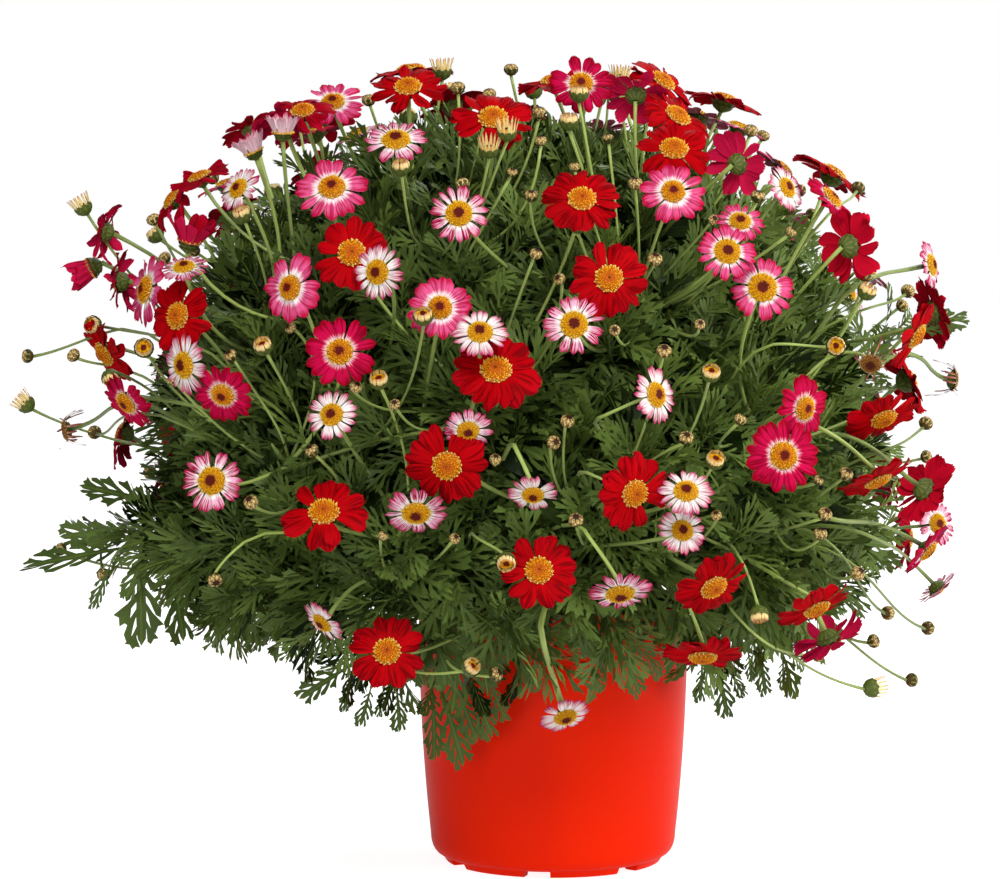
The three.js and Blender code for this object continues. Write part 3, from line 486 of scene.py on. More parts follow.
def lay_shoots():
    shoots = []
    for i in range(SHOOTS):
        height = SHOOT_HIGHEST - (SHOOT_HIGHEST - SHOOT_LOWEST) * (i + FIRST_SHOOT) / SHOOTS
        direction = ball_direction(height, GOLDEN_TURN * i + FIRST_TURN)
        end = CROWN + (on_dome(direction, 1) - CROWN) * SHOOT_SHARE
        end[2] -= SHOOT_SAG * math.sqrt(1 - height * height)
        outward = unit(end - CROWN)
        aim = unit(outward * SHOOT_OUT + UP * SHOOT_UP)
        start = CROWN + unit(outward + UP * LIMB_LIFT) * LIMB_REACH
        length = np.linalg.norm(end - start)
        lift = unit(unit(end - start) + UP * SHOOT_LIFT)
        knots = (start, start + lift * length * SHOOT_FOOT_PULL, end - aim * length * SHOOT_TIP_PULL,
                 end)
        shoots.append({"number": i + 1, "colour": "pink" if i % 2 else "red", "end": end,
                       "aim": aim, "knots": knots})
    return shoots


shoots = lay_shoots()
print("main shoots:", len(shoots))

# %% [markdown]
# ## From small parts to one mesh
#
# A bush is thousands of small parts of a few kinds. Making an object of each would be slow, so
# each kind is worked out as arrays of points, and a batch joins them into one mesh per shoot or
# spray. Every point also carries a "look": how far along its part it lies, how far across, and a
# tone drawn once for the part. The materials read it, so no two petals have to be alike.

# %% Batches of small parts
def looks_of(points, along, across, tone):
    """The look of every point: its place along and across its part, and the part's tone."""
    looks = np.empty(points.shape)
    for k, value in enumerate((along, across, tone)):
        looks[..., k] = value
    return looks


class Batch:
    """Points in mm, faces and looks of many small parts, gathered for one mesh."""

    def __init__(self):
        self.points, self.faces, self.looks, self.count = [], [], [], 0

    def add(self, points, faces, looks):
        """Points are (parts, n, 3) or (n, 3); faces index the n points of one part."""
        points = np.atleast_3d(points) if points.ndim == 3 else points[None]
        parts, n, _ = points.shape
        looks = np.broadcast_to(looks, points.shape)
        starts = self.count + n * np.arange(parts)
        for face_set in faces:
            face_set = np.asarray(face_set)
            self.faces.append((face_set[None] + starts[:, None, None]).reshape(-1, face_set.shape[1]))
        self.points.append(points.reshape(-1, 3))
        self.looks.append(looks.reshape(-1, 3))
        self.count += parts * n

    def triangles(self):
        return sum(len(f) * (f.shape[1] - 2) for f in self.faces)


MADE = []


def make_piece(name, batch, material, nodes):
    """One mesh object from a batch, riding with the plant, in one material."""
    mesh = bpy.data.meshes.new(name)
    points = np.concatenate(batch.points) * MM
    mesh.vertices.add(len(points))
    mesh.vertices.foreach_set("co", points.astype(np.float32).ravel())
    sizes = np.concatenate([np.full(len(f), f.shape[1]) for f in batch.faces])
    corners = np.concatenate([f.ravel() for f in batch.faces])
    mesh.loops.add(len(corners))
    mesh.loops.foreach_set("vertex_index", corners.astype(np.int32))
    mesh.polygons.add(len(sizes))
    starts = np.concatenate([[0], np.cumsum(sizes)[:-1]])
    mesh.polygons.foreach_set("loop_start", starts.astype(np.int32))
    mesh.polygons.foreach_set("use_smooth", np.ones(len(sizes), bool))
    look = mesh.attributes.new("look", "FLOAT_VECTOR", "POINT")
    look.data.foreach_set("vector", np.concatenate(batch.looks).astype(np.float32).ravel())
    mesh.update(calc_edges=True)
    mesh.validate()
    mesh.materials.append(material)
    piece = bpy.data.objects.new(name, mesh)
    bpy.context.scene.collection.objects.link(piece)
    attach(piece, "root")
    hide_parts(*nodes)
    MADE.append((name, batch.triangles()))
    return piece


# %% Tubes
def carried_frames(path):
    """Tangents of a path and two directions across it, carried along without twist."""
    tangents = unit(np.gradient(path, axis=0))
    side = np.cross(tangents[0], np.array([0.31, 0.52, 0.79]))
    sides = []
    for tangent in tangents:
        side = unit(side - tangent * (side @ tangent))
        sides.append(side)
    sides = np.array(sides)
    return tangents, sides, np.cross(tangents, sides)


def ring_faces(rings, count):
    """The four-sided faces between rings of the same count."""
    ring, corner = np.meshgrid(np.arange(rings - 1), np.arange(count), indexing="ij")
    a = (ring * count + corner).ravel()
    b = (ring * count + (corner + 1) % count).ravel()
    return np.stack([a, b, b + count, a + count], axis=1)


def end_faces(rings, count):
    """The faces that close the first and the last ring."""
    return [np.arange(count)[::-1][None], (count * (rings - 1) + np.arange(count))[None]]


def around(count):
    """The turns of a ring's corners."""
    return 2 * math.pi * np.arange(count) / count


def add_tube(batch, path, radii, count, tone, ridge=0.0):
    """A round tube with closed ends, ridged on every other corner."""
    _, u, v = carried_frames(path)
    turn = around(count)
    swell = 1 + ridge * np.where(np.arange(count) % 2, -1.0, 1.0)
    reach = (np.asarray(radii)[:, None] * swell)[:, :, None]
    rim = u[:, None] * np.cos(turn)[None, :, None] + v[:, None] * np.sin(turn)[None, :, None]
    points = path[:, None] + rim * reach
    rings = len(path)
    looks = looks_of(points, np.linspace(0, 1, rings)[:, None], np.abs(np.cos(turn)), tone)
    batch.add(points.reshape(-1, 3), [ring_faces(rings, count), *end_faces(rings, count)],
              looks.reshape(-1, 3))


# %% [markdown]
# ## One leaf
#
# A marguerite's leaf is cut almost to its middle rib into narrow lobes, which point forward and
# bear a tooth or two of their own. It is drawn flat first: a strip for the rib, with a lobe on
# each side at every station. Six such patterns, each with lobes of slightly different length and
# angle, and six more for the large leaves that hang free, are enough, because bending, folding and
# scale make every leaf its own.

# %% Leaf patterns
# A leaf's cut, from foot to tip: where lobes start and end on the rib, then their length, width and
# angle, and half the rib's width at each of those places
CUTS = [
    {"stations": [(0.26, 0.31), (0.41, 0.475), (0.57, 0.645), (0.74, 0.81)],
     "lengths": [0.20, 0.33, 0.37, 0.26], "widths": [0.040, 0.052, 0.060, 0.056],
     "angles": [52, 46, 38, 28],
     "ribs": [0.012, 0.013, 0.018, 0.021, 0.026, 0.029, 0.034, 0.037, 0.037]},
    {"stations": [(0.34, 0.41), (0.54, 0.63), (0.74, 0.82)],
     "lengths": [0.30, 0.40, 0.29], "widths": [0.050, 0.066, 0.062],
     "angles": [50, 40, 29],
     "ribs": [0.013, 0.017, 0.023, 0.028, 0.034, 0.038, 0.039]},
]
# The large leaves that hang free have more lobes, short and broad
HANGING_CUT = {
    "stations": [(0.20, 0.26), (0.34, 0.41), (0.48, 0.56), (0.63, 0.71), (0.78, 0.86)],
    "lengths": [0.15, 0.22, 0.26, 0.24, 0.17], "widths": [0.048, 0.062, 0.072, 0.074, 0.062],
    "angles": [56, 50, 44, 38, 30],
    "ribs": [0.016, 0.018, 0.024, 0.028, 0.034, 0.038, 0.042, 0.044, 0.046, 0.044, 0.042],
}
LOBE_TURN = 16.0
SIDE_SHIFT = 0.025
SHOULDER_AT, SHOULDER_HALF_WIDTH, TIP_OFF = 0.93, 0.036, 0.006
# A lobe's corners and its teeth: how far out each lies, as a share of the lobe, and how far to its side
LOBE_CORNERS = [(0.30, 0.36), (0.34, -0.36), (0.78, 0.50), (0.84, -0.42), (1.0, 0.10)]
OUTER_TOOTH, INNER_TOOTH = (0.80, 1.25), (0.86, -1.10)
OUTER_TOOTH_CHANCE, INNER_TOOTH_CHANCE = 0.65, 0.25
# How far chance shifts the stations and changes the length and angle of a lobe
STATION_SPREAD, LOBE_LEAST, LOBE_SPREAD, ANGLE_SPREAD = 0.02, 0.72, 0.56, 14


def leaf_pattern(seed, cut):
    """Flat points (along, across) and faces of one leaf of length 1."""
    chance = np.random.default_rng(seed)
    points, triangles, quads = [], [], []
    rails = {}
    for side in (1, -1):
        shift = SIDE_SHIFT * side
        ends = [u for pair in cut["stations"] for u in pair]
        stations = [0.0] + [u + shift + STATION_SPREAD * (chance.random() - 0.5) for u in ends]
        rails[side] = []
        for u, half in zip(stations, cut["ribs"]):
            rails[side].append(len(points))
            points.append((u, side * half))
    for k in range(len(stations) - 1):
        quads.append((rails[-1][k], rails[1][k], rails[1][k + 1], rails[-1][k + 1]))
    shoulder = {}
    for side in (1, -1):
        shoulder[side] = len(points)
        points.append((SHOULDER_AT, side * SHOULDER_HALF_WIDTH))
    quads.append((rails[-1][-1], rails[1][-1], shoulder[1], shoulder[-1]))
    triangles.append((shoulder[-1], shoulder[1], len(points)))
    points.append((1.0, TIP_OFF))
    for side in (1, -1):
        for k, (length, width) in enumerate(zip(cut["lengths"], cut["widths"])):
            length *= LOBE_LEAST + LOBE_SPREAD * chance.random()
            angle = cut["angles"][k] + ANGLE_SPREAD * (chance.random() - 0.5)
            lower, upper = rails[side][2 * k + 1], rails[side][2 * k + 2]
            root = (np.array(points[lower]) + np.array(points[upper])) / 2

            def spot(far, out):
                turned = math.radians(angle - LOBE_TURN * far)
                ahead = np.array([math.cos(turned), side * math.sin(turned)])
                outer = np.array([-math.sin(turned), side * math.cos(turned)])
                points.append(tuple(root + ahead * length * far + outer * width * out))
                return len(points) - 1

            waist, inner, wide, near, tip = [spot(*corner) for corner in LOBE_CORNERS]
            quads.append((lower, waist, inner, upper))
            quads.append((waist, wide, near, inner))
            triangles.append((wide, tip, near))
            if k > 0 and chance.random() < OUTER_TOOTH_CHANCE:
                triangles.append((waist, spot(*OUTER_TOOTH), wide))
            if k > 0 and chance.random() < INNER_TOOTH_CHANCE:
                triangles.append((inner, near, spot(*INNER_TOOTH)))
    triangles = [t if side_up(points, t) else t[::-1] for t in triangles]
    quads = [q if side_up(points, q) else q[::-1] for q in quads]
    return np.array(points), [np.array(triangles), np.array(quads)]


def side_up(points, face):
    a, b, c = (np.array(points[i]) for i in face[:3])
    ab, ac = b - a, c - a
    return ab[0] * ac[1] - ab[1] * ac[0] > 0


def old_leaf_pattern():
    """A plain leaf of few faces, for the shaded inside of the bush."""
    stations = [0.0, 0.3, 0.55, 0.8, 1.0]
    halves = [0.02, 0.11, 0.17, 0.13, 0.02]
    points = [(u, side * half) for u, half in zip(stations, halves) for side in (-1, 1)]
    quads = [(2 * k, 2 * k + 1, 2 * k + 3, 2 * k + 2) for k in range(len(stations) - 1)]
    quads = [q if side_up(points, q) else q[::-1] for q in quads]
    return np.array(points), [np.array(quads)]


LEAF_PATTERNS = [leaf_pattern(seed, CUTS[seed % 2]) for seed in range(11, 17)]
HANGING_PATTERNS = [leaf_pattern(seed, HANGING_CUT) for seed in range(21, 27)]
OLD_LEAF = old_leaf_pattern()
leaf_triangles = sum(len(f) * (f.shape[1] - 2) for f in LEAF_PATTERNS[0][1])
print("one leaf:", len(LEAF_PATTERNS[0][0]), "points,", leaf_triangles, "triangles")

# %% [markdown]
# A leaf arches along its length, folds up along its rib like a shallow boat and twists a little.
# All leaves of one pattern are bent at once: each has a foot, a direction, an upper side, a
# length, an arch and a fold, and the pattern's points are carried round the arch.

# %% Bend the leaves
def bend_leaves(pattern, foot, ahead, above, length, arch, fold, twist):
    """Points (leaves, n, 3) of leaves bent from one flat pattern."""
    along, across = pattern[:, 0][None, :, None], pattern[:, 1][None, :, None]
    foot, ahead, above = foot[:, None], ahead[:, None], above[:, None]
    length, arch, fold, twist = (a[:, None, None] for a in (length, arch, fold, twist))
    arch = np.where(np.abs(arch) < 1e-3, 1e-3, arch)
    turned = arch * along
    run = length * np.sin(turned) / arch
    drop = length * (1 - np.cos(turned)) / arch
    local_above = above * np.cos(turned) + ahead * np.sin(turned)
    side = np.cross(ahead, above)
    roll = twist * along
    side, local_above = (side * np.cos(roll) + local_above * np.sin(roll),
                         local_above * np.cos(roll) - side * np.sin(roll))
    out = length * across
    lift = np.abs(out) * np.sin(fold) - 1.1 * out * out / length
    return foot + ahead * run - above * drop + side * out * np.cos(fold) + local_above * lift


# %% [markdown]
# ## Twigs and where leaves stand
#
# Each main shoot splits into green twigs, and each twig ends in a tuft of leaves set round it by
# the golden angle: long and spreading at the tuft's base, short and upright at its tip. The twigs
# end on a slightly smaller dome, evenly spread, so that leaves fill the bush up to just below the
# flowers on every side. Low twigs bend down, some sprawl over the rim of the pot, and a few more
# close the crown.

# %% Lay the twigs
TWIGS = 236
TWIG_TOP, TWIG_BOTTOM = 0.988, -0.66
TWIG_SHARE, TWIG_SPREAD = 0.765, 0.07
TWIG_RADIUS, TWIG_STEPS, TWIG_LEAVES = 1.3, 9, 25
LONGEST_LEAF, LONGEST_SPECIAL_LEAF = 63, 60
# How a twig rises: all twigs a little, lower ones less, until they point down and stand out further
TWIG_RISE, LOW_TWIG_FALL, LOW_TWIGS_BELOW, TWIG_SWAY = 1.15, 2.9, -0.15, 0.35
SKIRT_BELOW, SKIRT_OUT = -0.2, 18
# Where on a shoot its twigs may start, how long they may be, and how they leave it
TWIG_STARTS = np.linspace(0.1, 0.95, 18)
TWIG_LONGEST, TWIG_SLACK, TWIG_START_OUT, TWIG_PULL = 95.0, 45, 0.6, 0.35
SHOOT_AHEAD, MOST_BEHIND = 20, -30
chance = np.random.default_rng(20)


def nearest_shoot(point, colour=None):
    """The shoot whose tip points nearest to a place, of one colour of spray if that is asked."""
    def cost(shoot):
        ahead = (point - shoot["end"]) @ shoot["aim"]
        off = np.linalg.norm(point - shoot["end"] - shoot["aim"] * SHOOT_AHEAD)
        return off + 2 * max(0.0, MOST_BEHIND - ahead)
    return min((s for s in shoots if colour in (None, s["colour"])), key=cost)


def make_twig(end, aim, shoot, leaves, longest):
    """A twig from the shoot's own curve to its end, with the direction in which it ends."""
    stem = bezier(*shoot["knots"], TWIG_STARTS)
    gaps = np.linalg.norm(stem - end, axis=1)
    root = stem[np.argmin(np.abs(gaps - min(TWIG_LONGEST, gaps.min() + TWIG_SLACK)))]
    reach = np.linalg.norm(end - root)
    leaving = unit(unit(end - root) + unit(root - CROWN) * TWIG_START_OUT)
    path = bezier(root, root + leaving * reach * TWIG_PULL, end - aim * reach * TWIG_PULL, end,
                  np.linspace(0, 1, TWIG_STEPS))
    return {"shoot": shoot, "path": path, "aim": aim, "leaves": leaves, "longest": longest}


def lay_twigs():
    twigs = []
    for i in range(TWIGS):
        height = TWIG_TOP - (TWIG_TOP - TWIG_BOTTOM) * (i + 0.5) / TWIGS
        direction = ball_direction(height, GOLDEN_TURN * i)
        end = on_dome(direction, TWIG_SHARE + TWIG_SPREAD * (chance.random() - 0.5))
        outward = dome_normal(end)
        rise = TWIG_RISE + LOW_TWIG_FALL * min(0.0, height - LOW_TWIGS_BELOW)
        aim = unit(outward + UP * rise + TWIG_SWAY * chance.standard_normal(3))
        if height < SKIRT_BELOW:
            end = end + outward * SKIRT_OUT
        twigs.append(make_twig(end, aim, nearest_shoot(end), TWIG_LEAVES, LONGEST_LEAF))
    return twigs


# Low twigs that sprawl over the rim: where each ends in the picture, its depth, and how it points
SPRAWLING = [
    (128, 527, -15, (-1.0, -0.1, 0.1)), (165, 548, -45, (-0.8, -0.3, -0.3)),
    (104, 540, 40, (-0.9, 0.3, -0.1)), (215, 575, -40, (-0.6, -0.3, -0.7)),
    (275, 612, -60, (-0.5, -0.4, -0.6)), (352, 662, -78, (-0.6, -0.3, -0.6)),
    (395, 676, -92, (-0.2, -0.3, -0.9)), (436, 680, -100, (-0.1, -0.3, -0.9)),
    (470, 674, -112, (0.1, -0.2, -1.0)), (520, 664, -120, (0.0, -0.5, -0.7)),
    (598, 660, -120, (0.1, -0.5, -0.6)), (704, 652, -80, (0.1, -0.3, -0.9)),
    (722, 655, -66, (0.3, -0.3, -0.9)), (760, 640, -50, (0.5, -0.2, -0.8)),
    (788, 650, -36, (0.7, -0.2, -0.6)), (900, 330, 10, (1.0, 0.0, 0.2)),
]
SPRAWLING_LEAVES = 11

# Large leaves that hang there singly: foot and tip in the picture, depth of each, and breadth
HANGING = [
    (141, 536, -22, 142, 648, -30, 1.0), (170, 556, -48, 184, 643, -55, 1.0),
    (136, 546, -18, 20, 569, -5, 0.42), (140, 532, -5, 58, 537, 10, 0.62),
    (172, 508, 30, 77, 485, 60, 0.22), (113, 558, -25, 92, 611, -30, 0.25),
    (136, 534, -15, 88, 545, -35, 0.6), (150, 540, -30, 126, 600, -45, 0.7),
    (235, 575, -40, 200, 606, -45, 0.8), (279, 602, -60, 278, 634, -62, 0.9),
    (290, 610, -70, 305, 643, -72, 0.7), (356, 662, -80, 298, 700, -84, 1.0),
    (354, 672, -74, 343, 713, -76, 0.6), (372, 684, -84, 360, 727, -88, 0.9),
    (384, 684, -80, 379, 718, -82, 0.6), (396, 684, -92, 400, 733, -96, 0.9),
    (432, 684, -92, 434, 763, -86, 0.55), (440, 686, -100, 464, 768, -92, 0.75),
    (452, 678, -104, 478, 743, -98, 0.7), (468, 676, -110, 493, 739, -104, 0.7),
    (486, 672, -112, 507, 722, -106, 0.6), (520, 668, -118, 512, 700, -116, 0.8),
    (591, 662, -120, 602, 694, -112, 0.9), (616, 640, -118, 641, 697, -104, 0.7),
    (640, 640, -104, 660, 680, -96, 0.7), (703, 660, -78, 700, 703, -80, 0.9),
    (717, 662, -66, 728, 719, -70, 0.75), (724, 662, -60, 746, 698, -62, 0.6),
    (748, 648, -50, 752, 684, -52, 0.7), (760, 648, -50, 766, 697, -54, 0.8),
    (782, 655, -38, 784, 691, -40, 0.8), (750, 622, -80, 795, 643, -84, 0.8),
    (900, 330, 10, 969, 317, 20, 0.5), (905, 334, 5, 958, 324, -5, 0.5),
]


def special_twig(end, aim, leaves):
    return make_twig(end, unit(np.array(aim)), nearest_shoot(end), leaves, LONGEST_SPECIAL_LEAF)


# Twigs that close the crown, seen from above: where each ends around the dome's middle, in mm
CROWN_ENDS = [(-20, -14), (4, -20), (22, -4), (14, 18), (-10, 22), (-26, 6), (0, 0)]
CROWN_ENDS_HEIGHT, CROWN_LEAVES, CROWN_AIM_UP = 186.0, 22, 60.0

twigs = lay_twigs()
for x, y, depth, aim in SPRAWLING:
    twigs.append(special_twig(on_sight_line(x, y, depth), aim, SPRAWLING_LEAVES))
for x, y in CROWN_ENDS:
    twigs.append(special_twig(DOME_CENTRE + np.array([x, y, CROWN_ENDS_HEIGHT]), (x, y, CROWN_AIM_UP),
                          CROWN_LEAVES))
print("twigs:", len(twigs))

# %% [markdown]
# Leaves that would grow through the pot's wall or in front of a flower are left out, as a grower
# turns or trims them away. The test takes a few points on each leaf: none may lie inside the pot,
# in the room before a bloom's face, or between a front flower and the camera.

# %% Set the leaves
POT_HEIGHT, POT_RIM_RADIUS, POT_FLARE, POT_FLARE_POWER, POT_CLEAR = 168.0, 86.0, 9.6, 2.2, 1.0
SAMPLES = [4, 8, 13, 19, 24, 30, 37, 44]
# The open room at a head: how much wider than it, how far below its middle, and how far before it
ROOM_WIDER, ROOM_BELOW, ROOM_AT_BLOOM, ROOM_AT_BUD = 1.02, -5, 70, 25
BUD_HALF_SEEN, SEEN_PAST = 8.0, 4


def pot_radius(z):
    rise = np.clip(np.asarray(z) / POT_HEIGHT, 0, 1)
    return POT_RIM_RADIUS - POT_FLARE * (1 - rise) ** POT_FLARE_POWER


def in_pot(points):
    near = np.hypot(points[..., 0], points[..., 1]) < pot_radius(points[..., 2]) + POT_CLEAR
    return near & (points[..., 2] < POT_HEIGHT + POT_CLEAR)


def before_heads(points):
    """Whether points lie in the open room before a flower's face."""
    covered = np.zeros(points.shape[:-1], bool)
    for head in heads:
        offset = points - head["at"]
        height = offset @ head["facing"]
        flat = np.linalg.norm(offset - height[..., None] * head["facing"], axis=-1)
        tall = ROOM_AT_BLOOM if head["kind"] in BLOOMS else ROOM_AT_BUD
        covered |= (flat < head["radius"] * ROOM_WIDER) & (height > ROOM_BELOW) & (height < tall)
    return covered


def hiding_heads(points):
    """Whether points lie between a front flower and the camera."""
    x, y, far = in_picture(points)
    hiding = np.zeros(points.shape[:-1], bool)
    for head in heads:
        if head["view"] is None:
            continue
        bloom = head["kind"] in BLOOMS
        cx, cy, depth = in_picture(head["at"])
        half = [size / 2 for size in head["view"][2:4]] if bloom else [BUD_HALF_SEEN, BUD_HALF_SEEN]
        inside = ((x - cx) / half[0]) ** 2 + ((y - cy) / half[1]) ** 2 < 1.0
        hiding |= inside & (far < depth + SEEN_PAST)
    return hiding


# Leaves on the right are painted lighter, as painted light from the right, and some are left out low on
# the right, by their place in the picture
PAINTED_LIGHT_RIGHT = 0.26
THIN_PLACE, THIN_SHARE = (800, 470), 0.45
LOOK_ACROSS_LEAF = 4
# A tuft of leaves: where on the twig it starts, how wide the leaves open at its foot and less at its
# tip, how long they are at the foot and less at the tip, how they bend, and their tone
TUFT_START = 0.30
OPEN_DEGREES, OPEN_FALL, OPEN_SPREAD = 60, 38, 13
FOOT_LENGTH, LENGTH_FALL = 1.05, 0.50
BEND_LEAST, BEND_SPREAD, TWIST_SPREAD = 0.25, 0.55, 0.6
LEAF_TONE, TONE_SPREAD, TIP_TONE = 0.36, 0.32, 0.3


def set_leaves(twig):
    """The feet, directions and shapes of one twig's leaves."""
    count = twig["leaves"]
    path = twig["path"]
    share = TUFT_START + (1 - TUFT_START) * ((np.arange(count) + 0.5 * chance.random(count)) / count)
    place = share * (len(path) - 1)
    low = np.clip(place.astype(int), 0, len(path) - 2)
    part = (place - low)[:, None]
    foot = path[low] * (1 - part) + path[low + 1] * part
    tangents, u, v = carried_frames(path)
    axis = unit(tangents[low] * (1 - part) + tangents[low + 1] * part)
    turn = GOLDEN_TURN * np.arange(count) + 6.28 * chance.random() + 0.5 * chance.random(count)
    out = u[low] * np.cos(turn)[:, None] + v[low] * np.sin(turn)[:, None]
    out = unit(out - axis * np.sum(out * axis, axis=1, keepdims=True))
    degrees = OPEN_DEGREES - OPEN_FALL * share + OPEN_SPREAD * chance.standard_normal(count)
    open_angle = np.radians(degrees)[:, None]
    ahead = axis * np.cos(open_angle) + out * np.sin(open_angle)
    above = unit(axis - ahead * np.sum(axis * ahead, axis=1, keepdims=True))
    length = twig["longest"] * (FOOT_LENGTH - LENGTH_FALL * share) * (0.85 + 0.3 * chance.random(count))
    arch = BEND_LEAST + BEND_SPREAD * chance.random(count)
    fold = BEND_LEAST + BEND_SPREAD * chance.random(count)
    twist = TWIST_SPREAD * chance.standard_normal(count)
    tone = LEAF_TONE + TONE_SPREAD * chance.standard_normal(count) + TIP_TONE * (share - 0.6)
    # painted light: the further right a leaf stands, the lighter its tone
    tone = np.clip(tone + PAINTED_LIGHT_RIGHT * foot[:, 0] / DOME_X, 0, 1)
    return [foot, ahead, above, length, arch, fold, twist, tone]


def add_leaves(batches, twig, points, faces, pattern, tone):
    """Leaves bent from one pattern, each with its tone, in the batch of the shoot that bears them."""
    looks = looks_of(points, pattern[:, 0], pattern[:, 1] * LOOK_ACROSS_LEAF, tone[:, None])
    batches[twig["shoot"]["number"]].add(points, faces, looks)


def grow_leaves():
    """The leaf batch of each shoot."""
    batches = {shoot["number"]: Batch() for shoot in shoots}
    kept = 0
    for twig in twigs:
        patterns = LEAF_PATTERNS if twig["leaves"] > SPRAWLING_LEAVES else HANGING_PATTERNS
        kinds = chance.integers(0, len(patterns), twig["leaves"])
        values = set_leaves(twig)
        for kind, (pattern, faces) in enumerate(patterns):
            chosen = [value[kinds == kind] for value in values]
            points = bend_leaves(pattern, *chosen[:7])
            tests = points[:, SAMPLES]
            bad = in_pot(points).any(1) | before_heads(tests).any(1) | hiding_heads(tests).any(1)
            x, y, _ = in_picture(tests[:, 0])
            thin = (x > THIN_PLACE[0]) & (y > THIN_PLACE[1])
            bad |= thin & (chance.random(len(x)) < THIN_SHARE)
            points, tone = points[~bad], chosen[7][~bad]
            if len(points):
                add_leaves(batches, twig, points, faces, pattern, tone)
                kept += len(points)
    return batches, kept


OLD_LEAVES_PER_TWIG, OLD_LEAVES_ABOVE, OLD_LEAVES_WITHIN = 11, 186.0, 0.84
OLD_LEANS, OLD_LENGTHS, OLD_ARCHES, OLD_FOLDS = (0.1, 0.9), (44, 66), (0.2, 0.9), (0.1, 0.5)


def dome_share(points):
    """How far out points lie, as a share of the dome."""
    offset = points - DOME_CENTRE
    reach = np.where(offset[..., 2:] > 0, [DOME_X, DOME_Y, DOME_UP], [DOME_X, DOME_Y, DOME_DOWN])
    return np.sum(np.abs(offset / reach) ** DOME_POWER, axis=-1) ** (1 / DOME_POWER)


def grow_old_leaves(batches):
    """Broad old leaves low on each twig, which close the bush to the light, coloured in painted shade."""
    pattern, faces = OLD_LEAF
    count = OLD_LEAVES_PER_TWIG
    kept = 0
    for twig in twigs:
        tangents, u, v = carried_frames(twig["path"])
        index = chance.integers(0, 5, count)
        turn = 2 * math.pi * chance.random(count)
        out = u[index] * np.cos(turn)[:, None] + v[index] * np.sin(turn)[:, None]
        ahead = unit(out + tangents[index] * chance.uniform(*OLD_LEANS, (count, 1)))
        above = unit(tangents[index] - ahead * np.sum(tangents[index] * ahead, axis=1, keepdims=True))
        bends = [chance.uniform(*limits, count) for limits in (OLD_LENGTHS, OLD_ARCHES, OLD_FOLDS)]
        points = bend_leaves(pattern, twig["path"][index], ahead, above, *bends,
                             0.5 * chance.standard_normal(count))
        bad = in_pot(points).any(1) | before_heads(points).any(1) | hiding_heads(points).any(1)
        bad |= points[..., 2].min(1) < OLD_LEAVES_ABOVE
        bad |= dome_share(points).max(1) > OLD_LEAVES_WITHIN
        if (~bad).any():
            # a tone below zero gives these leaves the painted shade of the bush's inside
            tone = -0.6 - 0.4 * chance.random((~bad).sum())
            add_leaves(batches, twig, points[~bad], faces, pattern, tone)
            kept += (~bad).sum()
    return kept


# A hanging leaf shows its upper side to the camera and the sky, and swings a little
HANGING_ARCH, HANGING_FOLD, HANGING_TWIST, HANGING_TONE = 0.25, 0.35, 0.3, 0.24
TOWARD_SKY, SWING = 900, 500
NARROWEST, BROADER = 0.6, 0.5


def hang_leaves(batches):
    """The large single leaves, each with a leaf stalk from the nearest sprawling twig."""
    stalks = []
    low_twigs = twigs[TWIGS:TWIGS + len(SPRAWLING)]
    for k, (x, y, depth, tip_x, tip_y, tip_depth, breadth) in enumerate(HANGING):
        foot, tip = on_sight_line(x, y, depth), on_sight_line(tip_x, tip_y, tip_depth)
        length = np.linalg.norm(tip - foot)
        ahead = unit(tip - foot)
        lean = EYE - foot + UP * TOWARD_SKY + RIGHT * SWING * chance.standard_normal()
        above = unit(lean - ahead * (lean @ ahead))
        ahead = unit(ahead + above * HANGING_ARCH / 2)
        pattern, faces = HANGING_PATTERNS[k % len(HANGING_PATTERNS)]
        shaped = pattern * np.array([1, NARROWEST + BROADER * breadth])
        twist = HANGING_TWIST * chance.standard_normal()
        values = [np.array([value]) for value in (length, HANGING_ARCH, HANGING_FOLD, twist)]
        points = bend_leaves(shaped, foot[None], ahead[None], above[None], *values)
        near = min(low_twigs, key=lambda t: np.linalg.norm(t["path"] - foot, axis=1).min())
        joint = near["path"][np.argmin(np.linalg.norm(near["path"][:-1] - foot, axis=1))]
        add_leaves(batches, near, points, faces, pattern, np.array([HANGING_TONE * chance.random()]))
        middle = joint * 0.3 + foot * 0.7 + UP * 3
        path = bezier(joint, middle, foot - ahead * 4, foot + ahead * 3, np.linspace(0, 1, 7))
        stalks.append((near["shoot"]["number"], path))
    return stalks


leaf_batches, leaf_count = grow_leaves()
print("cut leaves:", leaf_count, "old leaves:", grow_old_leaves(leaf_batches))
leaf_stalks = hang_leaves(leaf_batches)
print("leaf triangles:", sum(batch.triangles() for batch in leaf_batches.values()))

# %% [markdown]
# ## Finishes that share an effect
#
# Leaves, petals and buds all need the same few things: to know where on the part a point lies, to
# vary a little from part to part, and to be mottled. Each effect is a node group, built once and
# placed in every material that uses it. Colours are mixed in the material itself, where they can
# be compared with the photograph one at a time.

# %% Small helpers for node trees
def srgb(red, green, blue):
    """A colour given in screen values from 0 to 255, as Blender's linear one."""
    def linear(value):
        value /= 255
        return value / 12.92 if value <= 0.04045 else ((value + 0.055) / 1.055) ** 2.4
    return (linear(red), linear(green), linear(blue), 1.0)


def node(tree, kind, **settings):
    made = tree.nodes.new(kind)
    for name, value in settings.items():
        setattr(made, name, value)
    return made


def wire(tree, source, socket):
    """Links an output to a socket, or sets the socket to a plain value."""
    if isinstance(source, bpy.types.NodeSocket):
        tree.links.new(source, socket)
    else:
        socket.default_value = source


def math_node(tree, operation, *values, clamp=False):
    made = node(tree, "ShaderNodeMath", operation=operation, use_clamp=clamp)
    for socket, value in zip(made.inputs, values):
        wire(tree, value, socket)
    return made.outputs[0]


def times(tree, first, second):
    return math_node(tree, "MULTIPLY", first, second)


def less(tree, value):
    """What is left of 1 after a share."""
    return math_node(tree, "SUBTRACT", 1.0, value)


